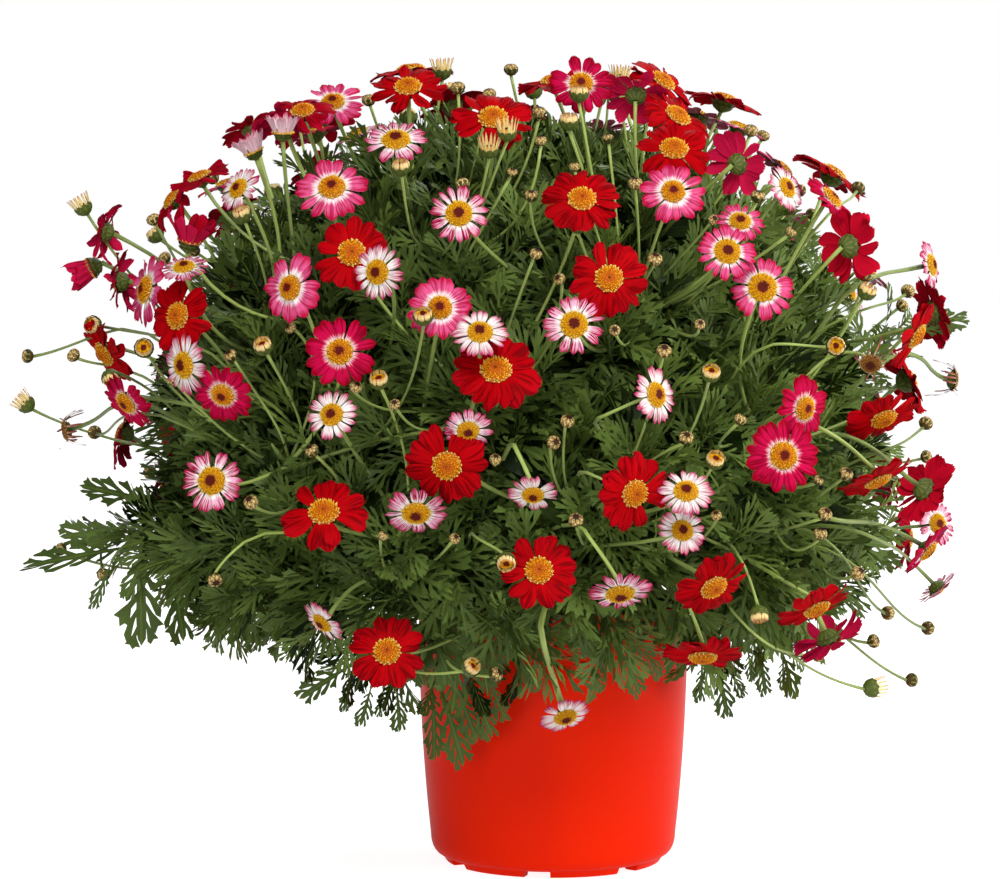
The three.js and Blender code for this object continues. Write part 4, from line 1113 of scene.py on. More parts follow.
def off_middle(tree, look):
    return math_node(tree, "ABSOLUTE", look["Across"])


def blend(tree, share, first, second):
    """Two colours mixed by a share."""
    made = node(tree, "ShaderNodeMix", data_type="RGBA", clamp_factor=True)
    wire(tree, share, made.inputs[0])
    wire(tree, first, made.inputs[6])
    wire(tree, second, made.inputs[7])
    return made.outputs[2]


def step_up(tree, value, low, high):
    """A share that rises smoothly from 0 at the low value to 1 at the high one."""
    made = node(tree, "ShaderNodeMapRange", interpolation_type="SMOOTHSTEP")
    wire(tree, value, made.inputs["Value"])
    made.inputs["From Min"].default_value = low
    made.inputs["From Max"].default_value = high
    return made.outputs["Result"]


def new_group(name, inputs, outputs):
    """An empty shader node group with its ends."""
    tree = bpy.data.node_groups.new(name, "ShaderNodeTree")
    for label, value in inputs.items():
        socket = tree.interface.new_socket(label, in_out="INPUT", socket_type="NodeSocketFloat")
        socket.default_value = value
    for label in outputs:
        tree.interface.new_socket(label, in_out="OUTPUT", socket_type="NodeSocketFloat")
    return tree, node(tree, "NodeGroupInput"), node(tree, "NodeGroupOutput")


def place(tree, group, **values):
    made = node(tree, "ShaderNodeGroup", node_tree=group)
    for label, value in values.items():
        wire(tree, value, made.inputs[label.replace("_", " ")])
    return made.outputs


# %% Node groups
def make_look_group():
    """Where a point lies on its own small part, and the part's tone."""
    tree, _, end = new_group("place on the part", {}, ["Along", "Across", "Tone"])
    look = node(tree, "ShaderNodeAttribute", attribute_name="look")
    parts = node(tree, "ShaderNodeSeparateXYZ")
    wire(tree, look.outputs["Vector"], parts.inputs[0])
    for label, output in zip(("Along", "Across", "Tone"), parts.outputs):
        wire(tree, output, end.inputs[label])
    return tree


def make_mottle_group():
    """Soft cloudy variation and fine grain, both about 0.5, from the place on the whole plant."""
    tree, start, end = new_group("mottle", {"Coarse": 60.0, "Fine": 900.0}, ["Cloud", "Grain"])
    place_node = node(tree, "ShaderNodeTexCoord")
    for label, size in (("Cloud", "Coarse"), ("Grain", "Fine")):
        noise = node(tree, "ShaderNodeTexNoise")
        noise.inputs["Detail"].default_value = 3.0
        wire(tree, place_node.outputs["Object"], noise.inputs["Vector"])
        wire(tree, start.outputs[size], noise.inputs["Scale"])
        wire(tree, noise.outputs["Fac"], end.inputs[label])
    return tree


STREAKS_APART = 37.0


def make_streak_group():
    """Lengthwise streaks that wander a little along the part and differ from part to part."""
    tree, start, end = new_group("streaks", {"Count": 9.0, "Wander": 1.0}, ["Streak"])
    look = place(tree, LOOK)
    joined = node(tree, "ShaderNodeCombineXYZ")
    wire(tree, times(tree, look["Across"], start.outputs["Count"]), joined.inputs[0])
    wire(tree, times(tree, look["Along"], start.outputs["Wander"]), joined.inputs[1])
    wire(tree, times(tree, look["Tone"], STREAKS_APART), joined.inputs[2])
    noise = node(tree, "ShaderNodeTexNoise")
    noise.inputs["Scale"].default_value = 1.0
    noise.inputs["Detail"].default_value = 2.0
    wire(tree, joined.outputs[0], noise.inputs["Vector"])
    wire(tree, noise.outputs["Fac"], end.inputs["Streak"])
    return tree


LOOK = make_look_group()
MOTTLE = make_mottle_group()
STREAKS = make_streak_group()
print("node groups:", [group.name for group in bpy.data.node_groups])


# %% A material to start from
def new_material(name, roughness, sheen=0.0, specular=0.5):
    """A material with its shader, to which a colour is wired next."""
    material = bpy.data.materials.new(name)
    material.use_nodes = True
    tree = material.node_tree
    shader = tree.nodes["Principled BSDF"]
    shader.inputs["Roughness"].default_value = roughness
    shader.inputs["Sheen Weight"].default_value = sheen
    shader.inputs["Specular IOR Level"].default_value = specular
    return material, tree, shader


def finish_material(tree, shader, colour, height, depth):
    """The colour, and fine relief from a height, as deep as given in metres."""
    wire(tree, colour, shader.inputs["Base Color"])
    bump = node(tree, "ShaderNodeBump")
    bump.inputs["Strength"].default_value = 1.0
    bump.inputs["Distance"].default_value = depth
    wire(tree, height, bump.inputs["Height"])
    wire(tree, bump.outputs["Normal"], shader.inputs["Normal"])


# %% [markdown]
# ## Leaf and stalk green
#
# The leaves are a deep blue-green with a thin waxy bloom, so the ones that face the light look
# pale and a little grey, while those inside the bush are almost black. Shadow does most of that,
# and a tone below zero marks the old leaves, which are painted darker still: painted shade.
# The material adds a lighter middle rib, a paler underside, and a tone of its own for each leaf.

# %% Leaf and twig materials
LEAF_DARK, LEAF_LIGHT = srgb(22, 36, 9), srgb(134, 158, 72)
LEAF_RIB, LEAF_UNDER = srgb(134, 158, 66), srgb(90, 112, 50)
# The old leaves' colour is painted shade: nearly black, for the inside of the bush
LEAF_OLD_PAINTED_SHADE = srgb(18, 34, 10)


def leaf_material():
    material, tree, shader = new_material("leaf green", 0.44, specular=0.16)
    look = place(tree, LOOK)
    mottle = place(tree, MOTTLE, Coarse=35.0, Fine=700.0)
    tone = math_node(tree, "MULTIPLY_ADD", mottle["Cloud"], 0.7, -0.35)
    tone = math_node(tree, "ADD", tone, look["Tone"], clamp=True)
    green = blend(tree, tone, LEAF_DARK, LEAF_LIGHT)
    rib = less(tree, step_up(tree, off_middle(tree, look), 0.01, 0.07))
    green = blend(tree, times(tree, rib, 0.45), green, LEAF_RIB)
    under = node(tree, "ShaderNodeNewGeometry").outputs["Backfacing"]
    green = blend(tree, times(tree, under, 0.6), green, LEAF_UNDER)
    # painted shade: a tone below zero turns a leaf towards the dark old-leaf colour
    old = math_node(tree, "MULTIPLY", look["Tone"], -1.0, clamp=True)
    green = blend(tree, old, green, LEAF_OLD_PAINTED_SHADE)
    height = math_node(tree, "MULTIPLY_ADD", rib, -0.6, mottle["Grain"])
    finish_material(tree, shader, green, height, 0.0003)
    return material


STALK_PALE, STALK_DEEP = srgb(180, 200, 100), srgb(84, 106, 44)
TWIG_PALE, TWIG_DEEP = srgb(130, 156, 78), srgb(74, 98, 40)


def stem_material(name, pale, deep):
    """A soft green stem with fine lengthwise ribs."""
    material, tree, shader = new_material(name, 0.45, sheen=0.1)
    look = place(tree, LOOK)
    mottle = place(tree, MOTTLE, Coarse=50.0, Fine=900.0)
    streak = place(tree, STREAKS, Count=5.0, Wander=2.0)["Streak"]
    share = math_node(tree, "MULTIPLY_ADD", mottle["Cloud"], 0.6, -0.35)
    share = math_node(tree, "ADD", share, times(tree, look["Tone"], 0.8), clamp=True)
    green = blend(tree, share, pale, deep)
    green = blend(tree, times(tree, streak, 0.3), green, deep)
    finish_material(tree, shader, green, streak, 0.0002)
    return material


LEAF = leaf_material()
STALK = stem_material("stalk green", STALK_PALE, STALK_DEEP)
TWIG = stem_material("twig green", TWIG_PALE, TWIG_DEEP)

# %% [markdown]
# ## Petals
#
# What looks like a petal is a ray floret, and each kind of flower here has its own pattern on it.
# The scarlet ones are plain and velvety, with painted shade at their root by the disc and along
# their grooves. The magenta ones start white at the disc. The small pink ones are white with rose
# streaks that gather towards the tip, the rose ones lie between, and the white ones are pink at the
# very tip only. One function makes them all from a base, a body, a tip and a streak colour.

# %% Petal materials
# Of each kind the colours at the base, in the body, at the tip, of the streaks and underneath; then how
# strongly it is streaked and how far out the pale base reaches
PETALS = {
    # red: the dark base colour is painted shade at the root by the disc, and the dark streak colour is
    # painted shade along the grooves
    "red": [(120, 0, 2), (186, 0, 10), (178, 0, 18), (96, 0, 2), (206, 14, 46), 0.7, 0.03],
    "crimson": [(196, 80, 96), (164, 0, 24), (178, 4, 40), (100, 0, 12), (216, 26, 78), 0.7, 0.05],
    "magenta": [(255, 226, 234), (202, 12, 72), (166, 0, 30), (116, 0, 18), (214, 74, 124), 0.7, 0.17],
    "rose": [(255, 242, 246), (230, 96, 148), (196, 12, 66), (168, 4, 52), (222, 120, 158), 0.7, 0.28],
    "white": [(255, 252, 250), (248, 226, 228), (190, 54, 104), (168, 22, 70), (230, 180, 194), 0.6, 0.5],
    "pink": [(255, 248, 248), (242, 184, 206), (188, 34, 92), (158, 6, 54), (230, 156, 184), 1.0, 0.34],
    "faded": [(222, 200, 176), (196, 130, 110), (140, 70, 60), (110, 40, 40), (186, 140, 120), 0.8, 0.4],
}
PALE_EDGE = 0.12


def petal_material(kind):
    base, middle, end, lines, below = (srgb(*colour) for colour in PETALS[kind][:5])
    streaked, pale_to = PETALS[kind][5:]
    material, tree, shader = new_material(kind + " petal", 0.6, specular=0.03)
    look = place(tree, LOOK)
    streak = place(tree, STREAKS, Count=3.2, Wander=0.8)["Streak"]
    mottle = place(tree, MOTTLE, Coarse=70.0, Fine=1400.0)
    reach = math_node(tree, "MULTIPLY_ADD", streak, 0.5, look["Along"])
    body_from = 0.25 + pale_to
    body = step_up(tree, reach, body_from - PALE_EDGE, body_from + PALE_EDGE)
    colour = blend(tree, body, base, middle)
    colour = blend(tree, step_up(tree, reach, 0.75, 1.25), colour, end)
    line = times(tree, step_up(tree, streak, 0.48, 0.58), streaked)
    line = times(tree, line, step_up(tree, look["Along"], 0.05, 0.5))
    colour = blend(tree, line, colour, lines)
    odd_tone = math_node(tree, "ABSOLUTE", math_node(tree, "SUBTRACT", look["Tone"], 0.5))
    colour = blend(tree, times(tree, odd_tone, 0.5), colour, lines)
    under = node(tree, "ShaderNodeNewGeometry").outputs["Backfacing"]
    colour = blend(tree, times(tree, under, 0.75), colour, below)
    height = math_node(tree, "MULTIPLY_ADD", mottle["Grain"], 0.15, streak)
    finish_material(tree, shader, colour, height, 0.0004)
    return material


PETAL = {kind: petal_material(kind) for kind in PETALS}
print("petal materials:", list(PETAL))

# %% [markdown]
# ## Discs, calyxes and buds
#
# The disc of a daisy is a dome of tiny tubular florets that open from the edge inwards. On the
# red flowers it is golden with a dark dimple; on the pink ones an unopened maroon eye sits in a
# bright yellow ring. Buds are wrapped in overlapping bracts with pale, papery edges.

# %% Disc, calyx and bud materials
# Of each kind the colours of the eye, the inner and outer florets, their edge and the painted shade
# in the gaps between them; then how far out the eye reaches
DISCS = {
    "red": [(96, 24, 4), (226, 122, 0), (252, 178, 4), (255, 228, 120), (160, 66, 0), 0.13],
    "magenta": [(92, 2, 2), (210, 104, 0), (250, 178, 4), (255, 226, 112), (160, 84, 0), 0.40],
    "pink": [(84, 0, 2), (208, 122, 2), (240, 186, 4), (252, 222, 92), (172, 106, 0), 0.46],
    "faded": [(80, 30, 16), (140, 84, 30), (190, 130, 50), (214, 170, 100), (90, 50, 16), 0.5],
}


def disc_material(kind):
    eye, inner, outer, edge, gaps = (srgb(*colour) for colour in DISCS[kind][:5])
    eye_to = DISCS[kind][5]
    material, tree, shader = new_material(kind + " disc", 0.65, specular=0.15)
    look = place(tree, LOOK)
    mottle = place(tree, MOTTLE, Coarse=300.0, Fine=1500.0)
    tone = math_node(tree, "MULTIPLY_ADD", look["Tone"], 0.2, look["Along"])
    colour = blend(tree, step_up(tree, tone, 0.35, 0.85), inner, outer)
    colour = blend(tree, step_up(tree, tone, 0.9, 1.08), colour, edge)
    # painted shade: the disc's surface and the florets' feet, down in the gaps, take the darker colour
    low = math_node(tree, "SUBTRACT", 0.85, look["Across"], clamp=True)
    colour = blend(tree, low, colour, gaps)
    in_eye = less(tree, step_up(tree, tone, eye_to - 0.02, eye_to + 0.12))
    colour = blend(tree, times(tree, in_eye, 0.97), colour, eye)
    finish_material(tree, shader, colour, mottle["Grain"], 0.0002)
    return material


def scale_material(name, body, edge, tip):
    """Bracts: green or brown in the middle, papery at the rim, darker at the tip."""
    material, tree, shader = new_material(name, 0.55, specular=0.25)
    look = place(tree, LOOK)
    streak = place(tree, STREAKS, Count=4.0, Wander=2.0)["Streak"]
    colour = blend(tree, step_up(tree, off_middle(tree, look), 0.35, 0.9), body, edge)
    colour = blend(tree, times(tree, step_up(tree, look["Along"], 0.62, 1.0), 0.7), colour, tip)
    colour = blend(tree, times(tree, look["Tone"], 0.35), colour, body)
    colour = blend(tree, times(tree, streak, 0.3), colour, tip)
    finish_material(tree, shader, colour, streak, 0.0002)
    return material


def bud_material(green, tan, cream, brown):
    """A bud's bracts: green below and tan above by their tone, with brown tips and gaps."""
    material, tree, shader = new_material("bud scales", 0.6, specular=0.2)
    look = place(tree, LOOK)
    streak = place(tree, STREAKS, Count=3.0, Wander=2.5)["Streak"]
    ripe = step_up(tree, look["Tone"], 0.25, 0.65)
    colour = blend(tree, ripe, green, tan)
    out = off_middle(tree, look)
    middle = less(tree, step_up(tree, out, 0.0, 0.6))
    colour = blend(tree, times(tree, middle, ripe), colour, cream)
    dark = step_up(tree, math_node(tree, "MULTIPLY_ADD", streak, 0.5, look["Along"]), 0.95, 1.2)
    colour = blend(tree, dark, colour, brown)
    colour = blend(tree, times(tree, step_up(tree, out, 0.6, 1.0), 0.7), colour, brown)
    finish_material(tree, shader, colour, streak, 0.0003)
    return material


DISC = {kind: disc_material(kind) for kind in DISCS}
DISC["crimson"] = DISC["red"]
CALYX = scale_material("calyx green", srgb(82, 104, 38), srgb(138, 136, 76), srgb(78, 56, 26))
BUD = bud_material(srgb(54, 62, 16), srgb(170, 132, 58), srgb(230, 208, 150), srgb(56, 28, 8))
CUP = scale_material("opening rays", srgb(248, 226, 146), srgb(240, 222, 160), srgb(186, 74, 70))
print("disc and bud materials:", len(DISC) + 3)

# %% [markdown]
# ## Leaves and twigs as meshes
#
# The leaves of a shoot become one mesh, and its stem with all its twigs another. Together they
# stand for the plain solid of that shoot, which only marked out the space that they fill.

# %% Make the shoots
TWIG_SIDES, SHOOT_SIDES, SHOOT_STEPS = 5, 8, 16
SHOOT_TAPER, TWIG_TAPER, LEAF_STALK_RADII = 0.8, 0.45, (1.2, 0.9)


def make_shoots():
    for shoot in shoots:
        number = f"{shoot['number']:02d}"
        solid = "leafy_shoot_" + number
        stems = Batch()
        spine = bezier(*shoot["knots"], np.linspace(0, 1, SHOOT_STEPS))
        radii = np.linspace(SHOOT_RADIUS, SHOOT_RADIUS * SHOOT_TAPER, SHOOT_STEPS)
        add_tube(stems, spine, radii, SHOOT_SIDES, 0.8, 0.06)
        for twig in twigs:
            if twig["shoot"] is shoot:
                radii = np.linspace(TWIG_RADIUS, TWIG_RADIUS * TWIG_TAPER, len(twig["path"]))
                add_tube(stems, twig["path"], radii, TWIG_SIDES, chance.random())
        for owner, path in leaf_stalks:
            if owner == shoot["number"]:
                add_tube(stems, path, np.linspace(*LEAF_STALK_RADII, len(path)), TWIG_SIDES, 0.5)
        make_piece(f"shoot_{number}_twigs", stems, TWIG, [solid])
        make_piece(f"shoot_{number}_leaves", leaf_batches[shoot["number"]], LEAF, [solid])


make_shoots()
print("leaf and twig pieces:", len(MADE))

# %% [markdown]
# ## More heads than the solids hold
#
# The solid model keeps to the heads that stand out. A real bush also has many closed buds among
# the leaves, and as many flowers behind as in front. These are added here by the same rules, each
# where it is clear of the others, and each on a stalk of the nearest spray.

# %% More heads
MORE_BUDS = [
    (462, 177), (541, 132), (609, 130), (717, 214), (165, 378), (280, 322), (393, 404), (381, 538),
    (568, 421), (554, 443), (616, 328), (703, 322), (825, 481), (745, 419), (720, 517), (827, 536),
    (536, 249), (531, 189), (637, 176), (797, 226), (224, 354), (353, 386), (489, 84), (512, 165),
    (575, 159), (790, 169), (560, 275), (874, 271), (308, 451), (454, 541), (495, 460), (823, 664),
]
MORE_BACK = 104
MORE_KINDS = ["pink", "red", "bud", "magenta", "pink", "bud", "magenta", "red", "opening", "bud"]
MORE_SIZES = {"pink": 17.5, "red": 24.0, "magenta": 20.5, "opening": 6.5, "bud": 4.4}
MORE_BUD_DEPTH, MORE_DEPTH = 6, 8
MORE_TOP, MORE_SPAN, MORE_SHARE, MORE_TURN, MORE_FIRST_TURN = 0.96, 1.5, 0.618, 1.7, 0.5
# None is added at the very sides, and close to them only well behind
WIDEST, WIDE, WELL_BEHIND = 0.92, 0.8, 0.3
MORE_STEPS = (0, 7, -7, 14, -14, 21)


def more_heads():
    draw = np.random.default_rng(77)
    extra = []
    for x, y in MORE_BUDS:
        at = on_front(x, y)
        extra.append({"kind": "bud", "at": at - dome_normal(at) * MORE_BUD_DEPTH, "view": (x, y),
                      "radius": BUD_RADIUS * (0.7 + 0.3 * draw.random()),
                      "facing": unit(dome_normal(at) + UP + 0.5 * draw.standard_normal(3))})
    i = 0
    while len(extra) < len(MORE_BUDS) + MORE_BACK:
        height = MORE_TOP - MORE_SPAN * ((i * MORE_SHARE) % 1)
        direction = ball_direction(height, GOLDEN_TURN * i * MORE_TURN + MORE_FIRST_TURN)
        i += 1
        at = on_dome(direction, 1)
        across = abs(at[0] - DOME_CENTRE[0]) / DOME_X
        behind = direction[1]
        if behind < BACK_EDGE or across > WIDEST or (across > WIDE and behind < WELL_BEHIND):
            continue
        kind = MORE_KINDS[draw.integers(len(MORE_KINDS))]
        extra.append({"kind": kind, "at": at - dome_normal(at) * MORE_DEPTH, "view": None,
                      "radius": MORE_SIZES[kind] * (0.9 + 0.2 * draw.random()),
                      "facing": unit(dome_normal(at) + UP * 0.5 + 0.3 * draw.standard_normal(3))})
    return extra


def spray_of(head):
    """The nearest spray of the colour that carries this kind of head."""
    colour = BLOOMS[head["kind"]]["spray"] if head["kind"] in BLOOMS else None
    shoot = nearest_shoot(head["at"], colour)
    return f"flower_spray_{shoot['colour']}_{shoot['number']:02d}"


def add_heads():
    added = 0
    for head in more_heads():
        outward = dome_normal(head["at"])
        home = head["at"]
        for step in MORE_STEPS:
            head["at"] = home + outward * step
            if all(room_between(head, other) > 1 for other in heads):
                head["node"] = spray_of(head)
                heads.append(head)
                added += 1
                break
    return added


print("heads added:", add_heads(), "heads in all:", len(heads))

# %% [markdown]
# ## Stalks
#
# Each head sits on a long bare stalk that leaves the leafy tip of its shoot and curves over until
# it meets the head nearly square on. One cubic curve does this. Where the picture shows a stalk
# come out between certain leaves, two such curves meet there. Just under the flower the stalk
# thickens a little.

# %% Make the stalks
STALK_RADIUS, STALK_SIDES, STALK_STEPS = 1.35, 6, 18
BLOOM_NECK, BUD_NECK = 0.3, 0.9


def shoot_of(head):
    return shoots[int(head["node"][-2:]) - 1]


def neck_depth(head):
    return head["radius"] * (BLOOM_NECK if head["kind"] in BLOOMS else BUD_NECK)


# Stalks that the picture shows to come from a certain place, by the place of their head
STALKS_FROM = {
    (565, 716): (541, 637), (533, 494): (514, 446), (620, 592): (586, 534), (471, 667): (404, 684),
    (496, 674): (448, 681), (215, 580): (234, 547), (104, 575): (84, 545), (506, 562): (474, 540),
    (655, 395): (600, 418), (634, 493): (588, 474), (823, 664): (756, 643), (872, 688): (790, 666),
    (912, 680): (851, 649), (888, 613): (838, 545), (928, 628): (862, 568), (937, 588): (881, 539),
    (927, 550): (840, 521), (925, 490): (860, 436), (877, 479): (822, 424), (926, 423): (899, 451),
    (930, 265): (880, 273), (908, 291): (868, 308), (952, 380): (930, 350), (836, 346): (782, 341),
    (858, 188): (842, 203), (27, 356): (100, 324), (26, 404): (94, 440), (67, 430): (107, 401),
    (102, 327): (172, 338), (73, 355): (96, 364), (85, 432): (119, 412), (759, 615): (748, 566),
}
LEG_STEPS, LEG_BEND, LONGEST_RISE = 8, 36.0, 24.0
BELOW_LEAVES, DEEP_ROOT = 17.0, 0.42
# How the two legs set out and arrive, as shares of the line of sight, the way out and the way on
SIGHT_IN, DOME_IN = 0.6, 0.8
LEAVE_ON, LEAVE_IN, LEAVE_AT_SIDE, LEAVE_PULL = 0.32, 0.85, 0.6, 0.38
ARRIVE_ON, ARRIVE_FACING, ARRIVE_PULL = 0.8, 0.4, 0.36


def shown_path(root, place_seen, head, neck):
    """A stalk in two legs: up from deep inside to a place between the leaves, and over to the head."""
    surface = on_front(*place_seen)
    outward = dome_normal(surface)
    sight = unit(surface - EYE)
    inward = unit(sight * SIGHT_IN - outward * DOME_IN)
    through = surface + inward * BELOW_LEAVES
    onward = unit(neck - through)
    length = np.linalg.norm(neck - through)
    at_side = LEAVE_AT_SIDE * (1 - abs(outward @ sight))
    leaving = unit(onward * (LEAVE_ON + at_side) - inward * (LEAVE_IN - at_side))
    inner = bezier(root, root * 0.7 + through * 0.3, through - leaving * LEG_BEND, through,
                   np.linspace(0, 1, LEG_STEPS))
    arrive = unit(onward * ARRIVE_ON + head["facing"] * ARRIVE_FACING)
    outer = bezier(through, through + leaving * min(LEAVE_PULL * length, LONGEST_RISE),
                   neck - arrive * length * ARRIVE_PULL, neck,
                   np.linspace(0, 1, STALK_STEPS - LEG_STEPS + 1))
    return np.concatenate([inner, outer[1:]])


# A closed head on such a stalk looks along it, a little upward
LOOK_UP, LOOK_AS_BEFORE = 0.25, 0.3
for head in heads:
    if head["kind"] in ("bud", "opening") and place_of(head) in set(STALKS_FROM) - set(TURNED):
        along = unit(head["at"] - on_front(*STALKS_FROM[place_of(head)]))
        head["facing"] = unit(along + UP * LOOK_UP + head["facing"] * LOOK_AS_BEFORE)


# A plain stalk: where on its shoot it starts, and what its direction at the head is made of
ROOT_FROM, ROOT_SPREAD, STALK_SWAY = 0.78, 0.22, 0.22
HEAD_PART, DOME_PART, UP_PART, STRAIGHT_PART = 0.5, 0.35, 0.15, 0.55
FIRST_AHEAD, FIRST_ALONG_SHOOT, FIRST_PULL = 0.8, 0.2, 0.3
SECOND_PULL, SECOND_FURTHEST = 0.6, 74.0
DIVE_LENGTH, DIVE_SHARE, DEEPEST_DIVE = 60.0, 0.3, 34.0


def stalk_path(head):
    """Out of the shoot, along below the leaves' tips, and up to the head."""
    shoot = shoot_of(head)
    neck = head["at"] - head["facing"] * neck_depth(head)
    root = bezier(*shoot["knots"], [ROOT_FROM + ROOT_SPREAD * chance.random()])[0]
    lean = STALK_SWAY * chance.standard_normal(3)
    seen_from = STALKS_FROM.get(place_of(head))
    if seen_from:
        return shown_path(bezier(*shoot["knots"], [DEEP_ROOT])[0], seen_from, head, neck)
    straight = unit(neck - root)
    arrive = unit(head["facing"] * HEAD_PART + dome_normal(head["at"]) * DOME_PART + UP * UP_PART
                  + straight * STRAIGHT_PART + lean)
    length = np.linalg.norm(neck - root)
    second = neck - arrive * min(SECOND_PULL * length, SECOND_FURTHEST)
    leaving = unit(unit(second - root) * FIRST_AHEAD + shoot["aim"] * FIRST_ALONG_SHOOT)
    first = root + leaving * length * FIRST_PULL
    if length > DIVE_LENGTH:
        first = first - dome_normal(root) * min(DEEPEST_DIVE, DIVE_SHARE * (length - DIVE_LENGTH))
    return bezier(root, first, second, neck, np.linspace(0, 1, STALK_STEPS))


STALK_SHARES = np.linspace(0, 1, STALK_STEPS)
STALK_TAPER = 1.1 - 0.35 * STALK_SHARES + 0.4 * STALK_SHARES**8
BUD_STALK, BLOOM_STALK, BLOOM_STALK_SPREAD, THICK_STALK = 0.68, 0.8, 0.3, 1.5
THICK_PLACE = (565, 716)
# Stalks at the sides of the bush stand in the light and are deeper in tone
RIM_SHARE = 0.86


def add_stalk(batch, head):
    closed = head["kind"] in ("bud", "opening")
    size = BUD_STALK if closed else BLOOM_STALK + BLOOM_STALK_SPREAD * chance.random()
    if place_of(head) == THICK_PLACE:
        size = THICK_STALK
    radii = STALK_RADIUS * size * STALK_TAPER
    at_rim = abs(head["at"][0] - DOME_CENTRE[0]) > RIM_SHARE * DOME_X
    tone = 0.7 + 0.3 * chance.random() if at_rim else 0.6 * chance.random()
    add_tube(batch, stalk_path(head), radii, STALK_SIDES, tone, 0.08)


# %% [markdown]
# ## Ray florets
#
# Every ray starts under the edge of the disc, widens to two thirds of its length and ends in a
# blunt, faintly toothed tip. Two shallow grooves run along it. It is built as a small grid bent by
# formulas, and each ray draws its own angle, length, tilt, twist and sideways bend.

# %% Rays
RAY_STATIONS = np.array([0.0, 0.18, 0.38, 0.60, 0.80, 0.93, 1.0])
RAY_WIDTHS = np.array([0.42, 0.62, 0.85, 1.0, 0.97, 0.74, 0.40])
RAY_COLUMNS = np.linspace(-1, 1, 7)
RAY_TEETH = np.array([0.060, 0.006, 0.050, -0.014, 0.050, 0.006, 0.060])
# Front blooms whose rays are between magenta and white, or nearly white
PETAL_PLACES = {
    "rose": {(291, 288), (440, 308), (147, 290), (332, 188), (673, 192), (333, 103), (762, 288),
             (727, 252), (740, 222)},
    "white": {(332, 415), (480, 333), (533, 494), (565, 716), (686, 492), (682, 531), (185, 365),
              (323, 622), (378, 272), (655, 395), (239, 189), (254, 153), (283, 134), (786, 188)},
}
RAYS = {
    "red": {"count": 14, "half": 0.195, "lift": 0.16, "droop": 0.25, "wild": 1.9},
    "crimson": {"count": 13, "half": 0.18, "lift": 0.20, "droop": 0.34, "wild": 2.1},
    "magenta": {"count": 16, "half": 0.160, "lift": 0.14, "droop": 0.21, "wild": 1.5},
    "pink": {"count": 22, "half": 0.106, "lift": 0.14, "droop": 0.20, "wild": 1.4},
    "faded": {"count": 17, "half": 0.055, "lift": 0.30, "droop": 0.75, "wild": 2.6},
}


# Where a ray starts under the disc, how long it is, and how far chance moves each of its measures
RAY_ROOT, RAY_LENGTH, RAY_SHORTEST, RAY_LONGEST = 0.82, 0.96, 0.78, 1.02
LENGTH_SPREAD, WIDTH_SPREAD, TURN_SPREAD, BEND_ASIDE, TIP_RISE, RAY_TWIST = (
    0.035, 0.13, 0.05, 0.05, 0.045, 0.13)
GROOVE_DEEP, ROLLED_EDGES, RAY_OVERLAP = 0.22, 0.30, 0.016


def grid_faces(rows, columns):
    row, column = np.meshgrid(np.arange(rows - 1), np.arange(columns - 1), indexing="ij")
    a = (row * columns + column).ravel()
    return np.stack([a, a + columns, a + columns + 1, a + 1], axis=1)


def head_axes(head, spin):
    """Two directions across a head, turned by a spin, and the way it faces."""
    facing = head["facing"]
    u = unit(np.cross(facing, np.array([0.36, 0.48, 0.80])))
    v = np.cross(facing, u)
    return u * math.cos(spin) + v * math.sin(spin), v * math.cos(spin) - u * math.sin(spin), facing


def onto_head(head, axes, x, y, z):
    """Points of a head drawn with radius 1 and facing up, moved to where the head is."""
    u, v, facing = axes
    local = x[..., None] * u + y[..., None] * v + z[..., None] * facing
    return head["at"] + head["radius"] * local


def turned(x, y, turn):
    return x * np.cos(turn) - y * np.sin(turn), x * np.sin(turn) + y * np.cos(turn)


def add_ray_grid(batch, head, axes, turn, x, y, z, along, across):
    """Rays as small grids: x out from the head's axis, y sideways, z up, each ray turned round."""
    points = onto_head(head, axes, *turned(x, y, turn), z + 0 * x)
    count, rows, columns = points.shape[:3]
    looks = looks_of(points, along, across, chance.random(count)[:, None, None])
    batch.add(points.reshape(count, -1, 3), [grid_faces(rows, columns)], looks.reshape(count, -1, 3))


# Young blooms whose rays still stand up in a cup, with the share of their length
CUPPED = {(254, 153): 0.6, (283, 134): 0.6, (93, 267): 0.24, (189, 243): 0.8}


